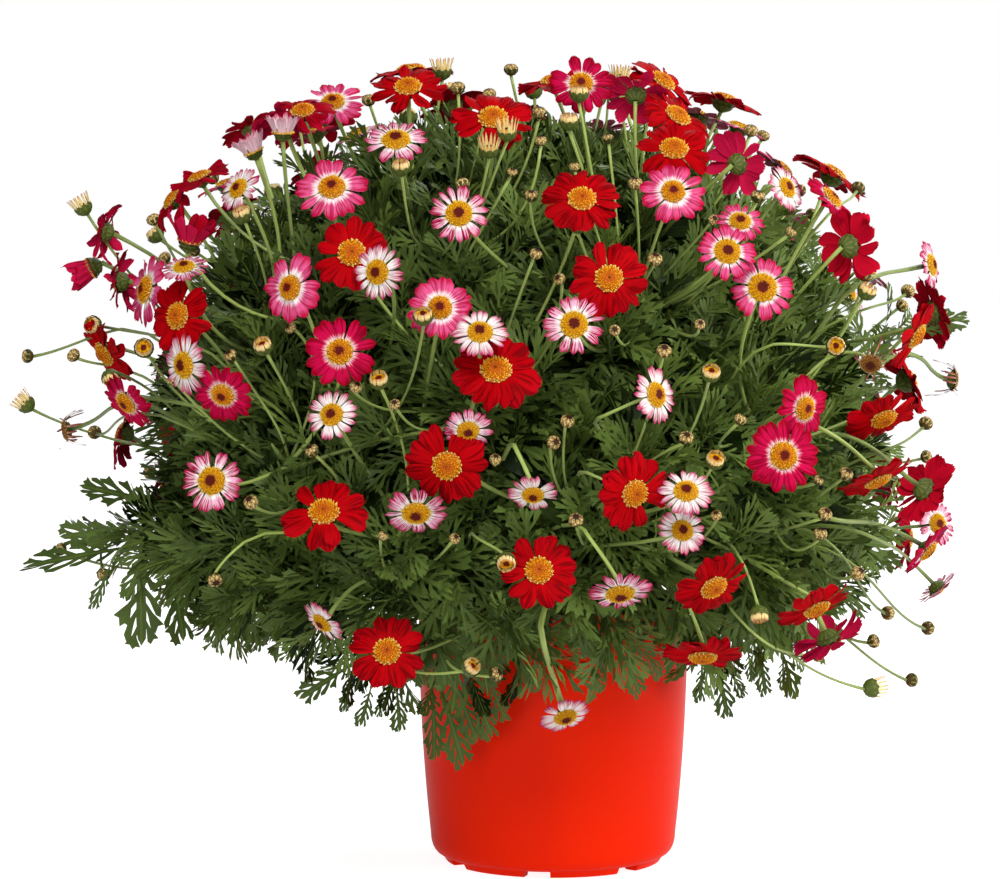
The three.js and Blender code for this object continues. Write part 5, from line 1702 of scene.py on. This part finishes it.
def add_rays(batch, head, axes):
    style = dict(RAYS[head["kind"]])
    if place_of(head) in CUPPED:
        style.update(lift=1.0, droop=0.3)
    count = style["count"] + int(chance.integers(-1, 2))
    wild = style["wild"]
    disc = BLOOMS[head["kind"]]["disc"]
    k = np.arange(count)
    spread = chance.standard_normal((6, count))[:, :, None, None]
    turn = (2 * math.pi * k / count)[:, None, None] + spread[0] * TURN_SPREAD * wild
    under = (k % 2)[:, None, None]
    along = RAY_STATIONS[None, :, None]
    across = RAY_COLUMNS[None, None, :]
    length = RAY_LENGTH + LENGTH_SPREAD * spread[1] * wild
    length = (1 - RAY_ROOT * disc) * np.clip(length, RAY_SHORTEST, RAY_LONGEST)
    length = length * CUPPED.get(place_of(head), 1.0)
    teeth = RAY_TEETH[None, None, :] * np.where(along > 0.9, 1.0, 0.0)
    x = RAY_ROOT * disc + length * (along - teeth)
    half = style["half"] * (1 + WIDTH_SPREAD * spread[2])
    y = half * RAY_WIDTHS[None, :, None] * across + BEND_ASIDE * wild * spread[3] * along**2
    z = 0.07 * disc + style["lift"] * along - style["droop"] * along**2 * (1 + 0.3 * spread[4] * wild)
    twist = RAY_TWIST * wild * spread[5] * across * half * (0.3 + along)
    z = z + TIP_RISE * wild * spread[4] * along + twist
    groove = np.where(np.isclose(np.abs(across), 1 / 3), -GROOVE_DEEP, 0.0) - ROLLED_EDGES * across**2
    swell = np.sin(np.pi * np.clip(along * 0.9 + 0.05, 0, 1))
    z = z + half * groove * swell - RAY_OVERLAP * under
    add_ray_grid(batch, head, axes, turn, x, y, z, along, across)


# %% [markdown]
# ## Discs
#
# The disc is a low dome set with small pointed bumps, one for each floret. They lie on a golden
# spiral, as real florets do, so they pack evenly from the eye to the rim. The bumps grow towards
# the rim, where the florets have opened, and the middle dips where they are still closed.

# %% Disc
FLORETS, FLORET_SIDES = 170, 5
FLORET_TURN, FLORET_SHIFT, FLORET_SIZE, FLORET_LEAN, FLORET_SUNK = 0.10, 0.022, 0.92, 0.6, 0.2
DISC_SHARES = np.array([1.0, 0.94, 0.82, 0.66, 0.48, 0.30, 0.15, 0.03])
RED_DIP, OTHER_DIP = 0.14, 0.08


def add_turned(batch, head, axes, radii, heights, sides, along, across, tone, rough=0.0):
    """A round form on the head's axis, turned from a profile, with an open foot and a closed top."""
    turn = around(sides)
    radii, heights = np.asarray(radii, float)[:, None], np.asarray(heights, float)[:, None]
    rings = len(radii)
    x, y = radii * np.cos(turn), radii * np.sin(turn)
    points = onto_head(head, axes, x, y, heights + 0 * turn + rough)
    looks = looks_of(points, np.asarray(along)[:, None], across, tone)
    batch.add(points.reshape(-1, 3), [ring_faces(rings, sides), end_faces(rings, sides)[1]],
              looks.reshape(-1, 3))


def disc_height(share, disc, dip):
    """How high the disc's surface stands at a share of its radius, in bloom radii."""
    crest = disc * DISC_RISE + DISC_BASE
    return 0.03 + (crest - 0.05) * (1 - share**2.6) - dip * disc * np.exp(-(share / 0.3) ** 2)


def add_disc(batch, head, axes):
    kind = head["kind"]
    disc = BLOOMS[kind]["disc"]
    dip = RED_DIP if kind in ("red", "crimson") else OTHER_DIP
    add_turned(batch, head, axes, disc * DISC_SHARES, disc_height(DISC_SHARES, disc, dip), 16,
               DISC_SHARES, 0, 0.5)
    k = np.arange(FLORETS)
    share = np.sqrt((k + 0.5) / FLORETS)
    turn = GOLDEN_TURN * k + FLORET_TURN * chance.standard_normal(FLORETS)
    share = np.clip(share + FLORET_SHIFT * chance.standard_normal(FLORETS), 0.02, 1.0)
    wide = FLORET_SIZE * disc / math.sqrt(FLORETS) * (0.75 + 0.45 * share)
    tall = wide * (0.9 + 1.1 * share**2) * (0.8 + 0.4 * chance.random(FLORETS))
    lean = FLORET_LEAN * tall * share
    rim = around(FLORET_SIDES) + turn[:, None]
    places = []
    for out, corner in ((np.cos(turn), np.cos(rim)), (np.sin(turn), np.sin(rim))):
        middle = disc * share * out
        corners = middle[:, None] + wide[:, None] * corner
        places.append(np.concatenate([corners, (middle + lean * out)[:, None]], axis=1))
    level = disc_height(share, disc, dip)
    foot = (level - FLORET_SUNK * wide)[:, None] + 0 * rim
    points = onto_head(head, axes, *places, np.concatenate([foot, (level + tall)[:, None]], axis=1))
    looks = looks_of(points, share[:, None], [0.1] * FLORET_SIDES + [1.0],
                     chance.random(FLORETS)[:, None])
    side = np.arange(FLORET_SIDES)
    cone = np.stack([side, (side + 1) % FLORET_SIDES, np.full(FLORET_SIDES, FLORET_SIDES)], axis=1)
    batch.add(points, [cone], looks)


# %% [markdown]
# ## Calyx and bracts
#
# Under each flower the stalk swells into a green cup of overlapping bracts, which also wraps the
# closed buds. A bract is a small tongue: two points at its root, one in its middle, two at its
# widest and one at its tip. Rows of them, each set half a step round from the last, cover a cup or
# a ball like tiles.

# %% Bracts
TONGUE_LOOKS = np.array([[0, -0.8], [0, 0.8], [0.35, 0.0], [0.55, -1], [0.55, 1], [1, 0]])
TONGUE_SWING = np.array([-0.9, 0.9, 0.0, -1.0, 1.0, 0.0])
TONGUE_LEVELS = [0, 0, 1, 2, 2, 3]
TONGUE_FACES = [np.array([[0, 1, 2], [0, 2, 3], [1, 4, 2], [2, 4, 5], [2, 5, 3]])]


def add_bracts(batch, head, axes, radii, heights, lifts, count, half_angle, offset, tone=None):
    """A ring of bracts: radii, heights and lifts are given at root, middle, shoulder and tip."""
    turn = 2 * math.pi * (np.arange(count) + offset) / count
    angle = turn[:, None] + TONGUE_SWING * half_angle
    reach = (np.array(radii) + np.array(lifts))[TONGUE_LEVELS] * np.ones((count, 1))
    z = np.array(heights)[TONGUE_LEVELS] * np.ones((count, 1))
    points = onto_head(head, axes, reach * np.cos(angle), reach * np.sin(angle), z)
    tones = chance.random(count)
    if tone is not None:
        tones = tone + 0.2 * (tones - 0.5)
    batch.add(points, TONGUE_FACES, looks_of(points, *TONGUE_LOOKS.T, tones[:, None]))


def add_calyx(batch, head, axes):
    disc = BLOOMS[head["kind"]]["disc"]
    stalk = STALK_RADIUS * 1.1 / head["radius"]
    radii = [stalk, disc * 0.36, disc * 0.60, disc * 0.72, disc * 0.78]
    heights = [-0.30, -0.26, -0.18, -0.07, 0.03]
    add_turned(batch, head, axes, radii, heights, 14, [0, 0.2, 0.4, 0.6, 0.8], 0, 0.6)
    for row, (low, high) in enumerate([(-0.27, -0.12), (-0.20, 0.0)]):
        reach = [disc * 0.40, disc * 0.62, disc * 0.74, disc * 0.84]
        rise = [low, low + 0.4 * (high - low), low + 0.7 * (high - low), high]
        lifts = [0.0, 0.04, 0.05, 0.05]
        add_bracts(batch, head, axes, np.array(reach) * (0.85 + 0.15 * row), rise, lifts, 10,
                   0.36, 0.5 * row)


# %% Buds and opening buds
BUD_PROFILE = [(-0.90, 0.26), (-0.78, 0.56), (-0.50, 0.82), (-0.10, 0.92), (0.30, 0.86),
               (0.56, 0.62), (0.66, 0.26)]
CUP_PROFILE = [(-0.90, 0.20), (-0.72, 0.55), (-0.42, 0.80), (-0.05, 0.88)]


# Rows of bracts: the heights of their root, middle, shoulder and tip
BUD_ROWS = [(-0.85, -0.40, -0.12, 0.10), (-0.62, -0.22, 0.06, 0.32), (-0.34, 0.06, 0.32, 0.56),
            (0.02, 0.34, 0.54, 0.72)]
CUP_ROWS = [(-0.85, -0.5, -0.25, 0.0), (-0.6, -0.25, 0.0, 0.22)]


def add_bud(batch, head, axes):
    heights, radii = zip(*BUD_PROFILE)
    add_turned(batch, head, axes, radii, heights, 10, np.linspace(0.6, 1.0, len(radii)), 1, 0.4)
    ripe = chance.uniform(-0.15, 0.25)
    for row, rise in enumerate(BUD_ROWS):
        reach = np.interp(rise, heights, radii)
        lifts = [0.02, 0.08, 0.09, 0.06]
        add_bracts(batch, head, axes, reach, rise, lifts, 8 - row // 2, 0.33 + 0.04 * row, 0.5 * row,
                   0.25 + 0.2 * row + ripe)


OPENING_RAYS = 15
# Opening heads whose rays already spread like a shuttlecock
SPLAYED = {(83, 207), (26, 404), (872, 688), (442, 71), (489, 149), (507, 132), (620, 78)}


def add_opening(cup, rays, discs, head, axes):
    """A half-open bud: a cup of bracts, blunt rays still standing up, and the disc between them."""
    heights, radii = zip(*CUP_PROFILE)
    add_turned(cup, head, axes, radii, heights, 12, np.linspace(0.1, 0.6, len(radii)), 0, 0.6)
    for row, rise in enumerate(CUP_ROWS):
        reach = np.interp(rise, heights, radii)
        add_bracts(cup, head, axes, reach, rise, [0.02, 0.07, 0.07, 0.08], 9, 0.38, 0.5 * row)
    along = np.array([0.0, 0.35, 0.7, 0.9, 1.0])[None, :, None]
    across = np.array([-1.0, -0.5, 0.0, 0.5, 1.0])[None, None, :]
    chances = chance.standard_normal((2, OPENING_RAYS))[:, :, None, None]
    turn = (2 * math.pi * np.arange(OPENING_RAYS) / OPENING_RAYS)[:, None, None] + 0.05 * chances[0]
    width = np.array([0.8, 1.0, 1.0, 0.8, 0.45])[None, :, None]
    reach = 0.80 + 0.28 * along - 0.42 * along**2 + 0.05 * chances[1] * along - 0.04 * across**2
    height = -0.08 + 0.84 * along - 0.12 * along**2
    if place_of(head) in SPLAYED:
        width = width * (1 - 0.5 * along)
        reach = 0.80 + (0.32 + 0.08 * chances[1]) * along - 0.04 * across**2
        height = -0.08 + 1.3 * along
    side = 0.155 * width * across
    add_ray_grid(rays, head, axes, turn, reach, side, height, along, across)
    shares = np.array([1.0, 0.8, 0.6, 0.4, 0.2, 0.05])
    rough = 0.04 * chance.standard_normal((len(shares), 12))
    add_turned(discs, head, axes, 0.74 * shares, 0.05 + 0.32 * (1 - shares**2), 12, shares,
               np.tile([0.2, 1.0], 6), chance.random(rough.shape), rough)


# %% [markdown]
# ## Every spray
#
# Now each spray of the solid model gets its finer pieces: stalks, rays and discs by kind, calyxes
# and buds. Parts of one spray and one finish share a mesh.

# %% Make the sprays
# Behind, the larger magenta and pink blooms take the paler finish
ROSE_ABOVE, WHITE_ABOVE = 20.3, 17.8


def petal_of(head):
    """The petal finish of a bloom: its kind, or another for some."""
    kind = head["kind"]
    if head["view"] is None:
        if kind == "magenta":
            return "rose" if head["radius"] > ROSE_ABOVE else kind
        return "white" if kind == "pink" and head["radius"] > WHITE_ABOVE else kind
    for finish, places in PETAL_PLACES.items():
        if place_of(head) in places:
            return finish
    return kind


def make_sprays():
    sprays = sorted(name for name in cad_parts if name.startswith("flower_spray"))
    for solid in sprays:
        shoot = shoots[int(solid[-2:]) - 1]
        parts = {}

        def batch(part):
            return parts.setdefault(part, Batch())

        hub = shoot["end"] + shoot["aim"] * np.linspace(FIT_GAP, FIT_GAP + HUB_LENGTH, 5)[:, None]
        add_tube(batch("stalks"), hub, [1.5, 1.5, 1.4, 1.2, 0.6], 8, 1.0)
        for head in heads:
            if head["node"] != solid:
                continue
            kind = head["kind"]
            axes = head_axes(head, 6.28 * chance.random())
            add_stalk(batch("stalks"), head)
            if kind in BLOOMS:
                add_rays(batch(petal_of(head) + "_rays"), head, axes)
                add_disc(batch(("red" if kind == "crimson" else kind) + "_discs"), head, axes)
                add_calyx(batch("calyxes"), head, axes)
            elif kind == "opening":
                add_opening(batch("calyxes"), batch("opening_rays"), batch("pink_discs"), head, axes)
            else:
                add_bud(batch("buds"), head, axes)
        for part, gathered in parts.items():
            kind = part.split("_")[0]
            if part.endswith("_rays"):
                finish = CUP if kind == "opening" else PETAL[kind]
                slot = "petal_red" if kind in ("red", "crimson") else "petal_pink"
            elif part.endswith("_discs"):
                finish, slot = DISC[kind], "flower_disc"
            elif part == "stalks":
                finish, slot = STALK, "stalk"
            else:
                finish, slot = (CALYX if part == "calyxes" else BUD), "bud"
            make_piece(f"spray_{solid[-2:]}_{part}", gathered, finish, [solid])


make_sprays()
print("pieces so far:", len(MADE), "triangles:", sum(count for _, count in MADE))

# %% [markdown]
# ## The pot
#
# A grower's pot is injection moulded: a thin satin wall that flares from a narrower foot, a small
# rounded lip, and a foot ring with slots that let water out. All of it is one turned profile.
# The slots need no cutting: the columns of the turned mesh that lie within a slot have the ring's
# lower edge raised, with two columns close together at either side for an upright cut.

# %% Turn the pot
POT_FOOT_RADIUS, POT_FOOT_HEIGHT, POT_FOOT_WIDTH = 69.0, 4.5, 9.0
POT_WALL, POT_FLOOR, POT_KNEE_HEIGHT, POT_STEP_RADIUS = 1.6, 1.8, 12.0, 72.0
POT_BOSS_RADIUS, POT_KNEE_TOP = 14.0, 17.0
DRAIN_SLOTS, DRAIN_SLOT_WIDTH, DRAIN_SLOT_HEIGHT, DRAIN_SLOT_TURN = 7, 16.5, 3.8, -99.0
PLAIN_COLUMNS = 12


def pot_columns():
    """Turns of the pot's mesh columns, and which of them lie within a drain slot."""
    half = math.asin(DRAIN_SLOT_WIDTH / 2 / POT_FOOT_RADIUS)
    step = 2 * math.pi / DRAIN_SLOTS
    edge = 0.002
    turns, open_slot = [], []
    for i in range(DRAIN_SLOTS):
        middle = math.radians(DRAIN_SLOT_TURN) + i * step
        inside = np.linspace(middle - half, middle + half, 5)
        between = np.linspace(middle + half + edge, middle + step - half - edge, PLAIN_COLUMNS)
        turns += [*inside, *between]
        open_slot += [True] * len(inside) + [False] * len(between)
    return np.array(turns), np.array(open_slot)


def pot_profile():
    """Radius, height and height in a slot, from the middle of the underside round to the inside."""
    foot, high, slot = POT_FOOT_RADIUS, POT_FOOT_HEIGHT, DRAIN_SLOT_HEIGHT
    ring = foot - POT_FOOT_WIDTH
    profile = [(2, 0, 0), (POT_BOSS_RADIUS, 0, 0), (POT_BOSS_RADIUS + 2, high, high),
               (ring - 2, high, high), (ring - 0.3, 0.6, slot + 0.3), (ring + 0.5, 0, slot),
               (foot - 0.8, 0, slot), (foot - 0.2, 0.3, slot), (foot + 0.4, 1.2, slot + 0.1),
               (foot + 2.0, high - 0.5, high - 0.3), (foot + 2.4, high, high)]
    knee = pot_radius(POT_KNEE_TOP) - POT_STEP_RADIUS
    for t in np.linspace(0, math.pi / 2, 8):
        z = POT_FOOT_HEIGHT + 0.4 + (POT_KNEE_TOP - POT_FOOT_HEIGHT - 0.4) * (1 - math.cos(t))
        profile.append((POT_STEP_RADIUS + knee * math.sin(t), z, z))
    for z in np.linspace(POT_KNEE_TOP, POT_HEIGHT - 1, 22)[1:]:
        profile.append((pot_radius(z), z, z))
    middle = POT_RIM_RADIUS - POT_WALL / 2
    for t in np.linspace(0.15, 0.85, 4) * math.pi:
        z = POT_HEIGHT - 1 + math.sin(t)
        profile.append((middle + math.cos(t) * POT_WALL / 2, z, z))
    for z in np.linspace(POT_HEIGHT - 1, POT_KNEE_HEIGHT, 8):
        profile.append((pot_radius(z) - POT_WALL, z, z))
    floor = POT_FOOT_HEIGHT + POT_FLOOR
    return np.array(profile + [(POT_FOOT_RADIUS + 1, floor, floor), (2, floor, floor)])


def pot_batch():
    turns, in_slot = pot_columns()
    radius, plain, raised = pot_profile().T
    z = np.where(in_slot, raised[:, None], plain[:, None])
    x, y = radius[:, None] * np.cos(turns), radius[:, None] * np.sin(turns)
    count, rings = len(turns), len(radius)
    points = np.stack([x, y, z], axis=-1)
    looks = looks_of(points, z / POT_HEIGHT, 0, 0.5)
    batch = Batch()
    batch.add(points.reshape(-1, 3), [ring_faces(rings, count), *end_faces(rings, count)],
              looks.reshape(-1, 3))
    return batch


POT_RED, POT_WARM = srgb(240, 28, 0), srgb(247, 42, 0)


def pot_material():
    """Satin polypropylene: even colour, faint flow clouding and a very fine moulded grain."""
    material, tree, shader = new_material("pot plastic", 0.34, specular=0.06)
    mottle = place(tree, MOTTLE, Coarse=9.0, Fine=2600.0)
    rough = math_node(tree, "MULTIPLY_ADD", mottle["Cloud"], 0.12, 0.27)
    wire(tree, rough, shader.inputs["Roughness"])
    colour = blend(tree, mottle["Cloud"], POT_RED, POT_WARM)
    finish_material(tree, shader, colour, mottle["Grain"], 0.00004)
    return material


pot = make_piece("pot_shell", pot_batch(), pot_material(), ["pot"])
for edge in pot.data.edges:
    low, high = (pot.data.vertices[i].co.z / MM for i in edge.vertices)
    edge.use_edge_sharp = max(low, high) < POT_FOOT_HEIGHT - 0.4
print("pot faces:", len(pot.data.polygons))

# %% [markdown]
# ## Soil and wood
#
# Hardly any soil shows under such a bush, but whoever looks in from the side finds it. It is a
# turned heap with an uneven, crumbly top. The stem rises from it and splits into woody limbs,
# each the start of a green shoot.

# %% Soil
SOIL_TOP, SOIL_HEAP, SOIL_SIDES, SOIL_RINGS, SOIL_ROUGH = 154.0, 4.0, 72, 26, 0.9
SOIL_GAP, STEM_HOLE_RADIUS = 0.2, 8.6
CRUMBS, CRUMBS_FROM, CRUMBS_TO, CRUMB_SIZES, CRUMB_ROUGH = 420, 14, 78, (0.8, 2.6), 0.3


def soil_reach(z):
    """How far out the soil reaches at a height, just clear of the pot's inside."""
    return pot_radius(z) - POT_WALL - FIT_GAP - SOIL_GAP


def soil_batch():
    bottom = POT_FOOT_HEIGHT + POT_FLOOR + FIT_GAP
    edge = SOIL_TOP - SOIL_HEAP
    wall = [(z, soil_reach(z)) for z in np.linspace(POT_KNEE_HEIGHT + 1, edge - 2, 6)]
    radii = [3, POT_FOOT_RADIUS - 1] + [r for _, r in wall]
    heights = [bottom, bottom] + [z for z, _ in wall]
    share = np.linspace(0, 1, SOIL_RINGS)
    top_radii = soil_reach(edge) + (STEM_HOLE_RADIUS - soil_reach(edge)) * share
    top_heights = edge + SOIL_HEAP * np.minimum(1, share * 2.2)
    radii, heights = np.array([*radii, *top_radii]), np.array([*heights, *top_heights])
    turn = around(SOIL_SIDES)
    z = heights[:, None] + 0 * turn
    z[-SOIL_RINGS + 1:-1] += SOIL_ROUGH * chance.standard_normal((SOIL_RINGS - 2, SOIL_SIDES))
    points = np.stack([radii[:, None] * np.cos(turn), radii[:, None] * np.sin(turn), z], axis=-1)
    looks = looks_of(points, z / SOIL_TOP, 0, chance.random(z.shape))
    batch = Batch()
    batch.add(points.reshape(-1, 3),
              [ring_faces(len(radii), SOIL_SIDES), *end_faces(len(radii), SOIL_SIDES)],
              looks.reshape(-1, 3))
    return batch


CRUMB = np.array([[1, 0, 0], [-1, 0, 0], [0, 1, 0], [0, -1, 0], [0, 0, 1], [0, 0, -1]], float)
CRUMB_FACES = [np.array([[0, 2, 4], [2, 1, 4], [1, 3, 4], [3, 0, 4],
                         [2, 0, 5], [1, 2, 5], [3, 1, 5], [0, 3, 5]])]


def add_crumbs(batch):
    radius = np.sqrt(chance.uniform(CRUMBS_FROM**2, CRUMBS_TO**2, CRUMBS))
    turn = chance.uniform(0, 2 * math.pi, CRUMBS)
    height = SOIL_TOP - SOIL_HEAP * np.clip((radius - 46) / 36, 0, 1) + 0.4
    middle = np.stack([radius * np.cos(turn), radius * np.sin(turn), height], axis=1)
    size = chance.uniform(*CRUMB_SIZES, (CRUMBS, 1, 3))
    points = middle[:, None] + CRUMB * size + CRUMB_ROUGH * chance.standard_normal((CRUMBS, 6, 3))
    looks = np.broadcast_to(chance.random((CRUMBS, 1, 1)), points.shape)
    batch.add(points, CRUMB_FACES, looks)


SOIL_DARK, SOIL_PALE = srgb(44, 32, 24), srgb(112, 88, 64)
BARK_DARK, BARK_PALE = srgb(92, 78, 52), srgb(150, 138, 96)


def rough_material(name, dark, pale, coarse, depth):
    """Soil or bark: clouded between two browns, with deep grain."""
    material, tree, shader = new_material(name, 0.85)
    look = place(tree, LOOK)
    mottle = place(tree, MOTTLE, Coarse=coarse, Fine=coarse * 6)
    colour = blend(tree, times(tree, look["Tone"], mottle["Cloud"]), dark, pale)
    finish_material(tree, shader, colour, mottle["Grain"], depth)
    return material


soil = soil_batch()
add_crumbs(soil)
make_piece("soil_heap", soil, rough_material("potting soil", SOIL_DARK, SOIL_PALE, 120.0, 0.0012),
           ["potting_soil"])
print("soil triangles:", soil.triangles())

# %% Woody stem
CROWN_HEIGHT = CROWN[2]
TRUNK_RADIUS, TRUNK_FOOT, TRUNK_STEPS, TRUNK_SIDES = 8.0, 112.0, 16, 12
TRUNK_SWAY, TRUNK_WAVE, TRUNK_WIDTH, TRUNK_TAPER = 0.25, 15, 0.94, 0.12
BURR_HEIGHT, BURR_SWELL, TRUNK_TOP = 10, 3.0, 5.0
LIMB_RADIUS, LIMB_STEPS, LIMB_SIDES, LIMB_SWELL = 2.4, 10, 7, 1.5


def wood_batch():
    batch = Batch()
    heights = np.linspace(TRUNK_FOOT, CROWN_HEIGHT + 8, TRUNK_STEPS)
    above = heights - TRUNK_FOOT
    sway = np.sin(above / TRUNK_WAVE)
    trunk = np.stack([TRUNK_SWAY * sway, TRUNK_SWAY * (1 - sway), heights], axis=1)
    swell = TRUNK_RADIUS * (TRUNK_WIDTH - TRUNK_TAPER * above / (CROWN_HEIGHT - TRUNK_FOOT))
    swell = swell + np.where(heights > CROWN_HEIGHT - BURR_HEIGHT, BURR_SWELL, 0.0)
    swell[-1] = TRUNK_TOP
    add_tube(batch, trunk, swell, TRUNK_SIDES, 0.6, 0.05)
    for shoot in shoots:
        start = shoot["knots"][0]
        leaving = unit(shoot["knots"][1] - start)
        middle = start - leaving * LIMB_REACH * 0.5
        limb = bezier(CROWN, CROWN * 0.4 + middle * 0.6, middle * 0.6 + start * 0.4, start,
                      np.linspace(0, 1, LIMB_STEPS))
        radii = np.linspace(LIMB_RADIUS * LIMB_SWELL, LIMB_RADIUS, LIMB_STEPS)
        add_tube(batch, limb, radii, LIMB_SIDES, 0.4 + 0.5 * chance.random(), 0.08)
    return batch


wood = wood_batch()
make_piece("woody_limbs", wood, rough_material("bark", BARK_DARK, BARK_PALE, 90.0, 0.0008),
           ["woody_stem"])
print("wood triangles:", wood.triangles())

# %% [markdown]
# ## Floor and light
#
# The photograph has no horizon: floor and background are the same white. A large pale floor and a
# white sky do that. For the plant itself the sky is dimmer, so that the large soft lamps can give
# it form: one above in front, a tall narrow one on the right that draws the pale line down the
# pot, a weak low one that looks in under the leaves, and one from behind for the back.

# %% Floor
FLOOR_HALF = 5.0
FLOOR_SEEN, FLOOR_CAST = 0.9, 0.28


def make_floor():
    mesh = bpy.data.meshes.new("floor")
    corners = [(FLOOR_HALF * x, FLOOR_HALF * y, 0) for x, y in ((-1, -1), (1, -1), (1, 1), (-1, 1))]
    mesh.from_pydata(corners, [], [(0, 1, 2, 3)])
    material, tree, shader = new_material("pale floor", 0.9, specular=0.0)
    shader.inputs["Base Color"].default_value = (0.6, 0.6, 0.6, 1)
    shader.inputs["Emission Color"].default_value = (1, 1, 1, 1)
    seen = node(tree, "ShaderNodeLightPath").outputs["Is Camera Ray"]
    glow = math_node(tree, "MULTIPLY_ADD", seen, FLOOR_SEEN - FLOOR_CAST, FLOOR_CAST)
    wire(tree, glow, shader.inputs["Emission Strength"])
    mesh.materials.append(material)
    floor = bpy.data.objects.new("floor", mesh)
    bpy.context.scene.collection.objects.link(floor)
    floor.location.z = -0.0005
    floor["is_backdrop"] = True


make_floor()

# %% Light
SKY_SEEN, SKY_CAST = 1.0, 0.17


def make_sky():
    world = bpy.data.worlds.new("studio")
    world.use_nodes = True
    tree = world.node_tree
    seen = node(tree, "ShaderNodeLightPath").outputs["Is Camera Ray"]
    strength = math_node(tree, "MULTIPLY_ADD", seen, SKY_SEEN - SKY_CAST, SKY_CAST)
    wire(tree, strength, tree.nodes["Background"].inputs["Strength"])
    tree.nodes["Background"].inputs["Color"].default_value = (1, 1, 1, 1)
    bpy.context.scene.world = world


# Each lamp: where it stands and what it is aimed at, in metres, its two sides, and its watts
LAMPS = {
    "key": ((0.4, -1.9, 2.1), (0, 0, 0.25), (1.0, 1.0), 46),
    "strip": ((1.85, -0.30, 0.75), (0, 0, 0.28), (0.5, 1.7), 28),
    "fill": ((-1.2, -2.8, 0.4), (0, 0, 0.15), (1.4, 1.0), 22),
    "rim": ((0.4, 1.8, 1.9), (0, 0, 0.3), (1.2, 1.2), 23),
}


def make_lamp(name, place_at, look_at, size, watts):
    data = bpy.data.lights.new(name, "AREA")
    data.shape = "RECTANGLE"
    data.size, data.size_y = size
    data.energy = watts
    lamp = bpy.data.objects.new(name, data)
    bpy.context.scene.collection.objects.link(lamp)
    lamp.location = place_at
    lamp.rotation_euler = (Vector(look_at) - Vector(place_at)).to_track_quat("-Z", "Y").to_euler()


make_sky()
for name, setting in LAMPS.items():
    make_lamp(name, *setting)
print("lamps:", list(LAMPS))
bpy.context.scene.view_settings.view_transform = "Standard"
bpy.context.scene.view_settings.look = "None"

# %% [markdown]
# ## Sizes and the end
#
# The finer pieces must not outgrow the solids that they stand for. How far the dressed pieces
# stand out past the solids' box on each side is printed.

# %% Compare the boxes and finish
dressed_box = [list(corner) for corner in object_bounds()]
for axis, low, high, solid_low, solid_high in zip("XYZ", *dressed_box, *solid_box):
    proud = [round(mm, 1) for mm in ((solid_low - low) / MM, (high - solid_high) / MM)]
    print(axis, "stands proud in mm:", *proud)
print("pieces:", len(MADE), "triangles:", sum(count for _, count in MADE))
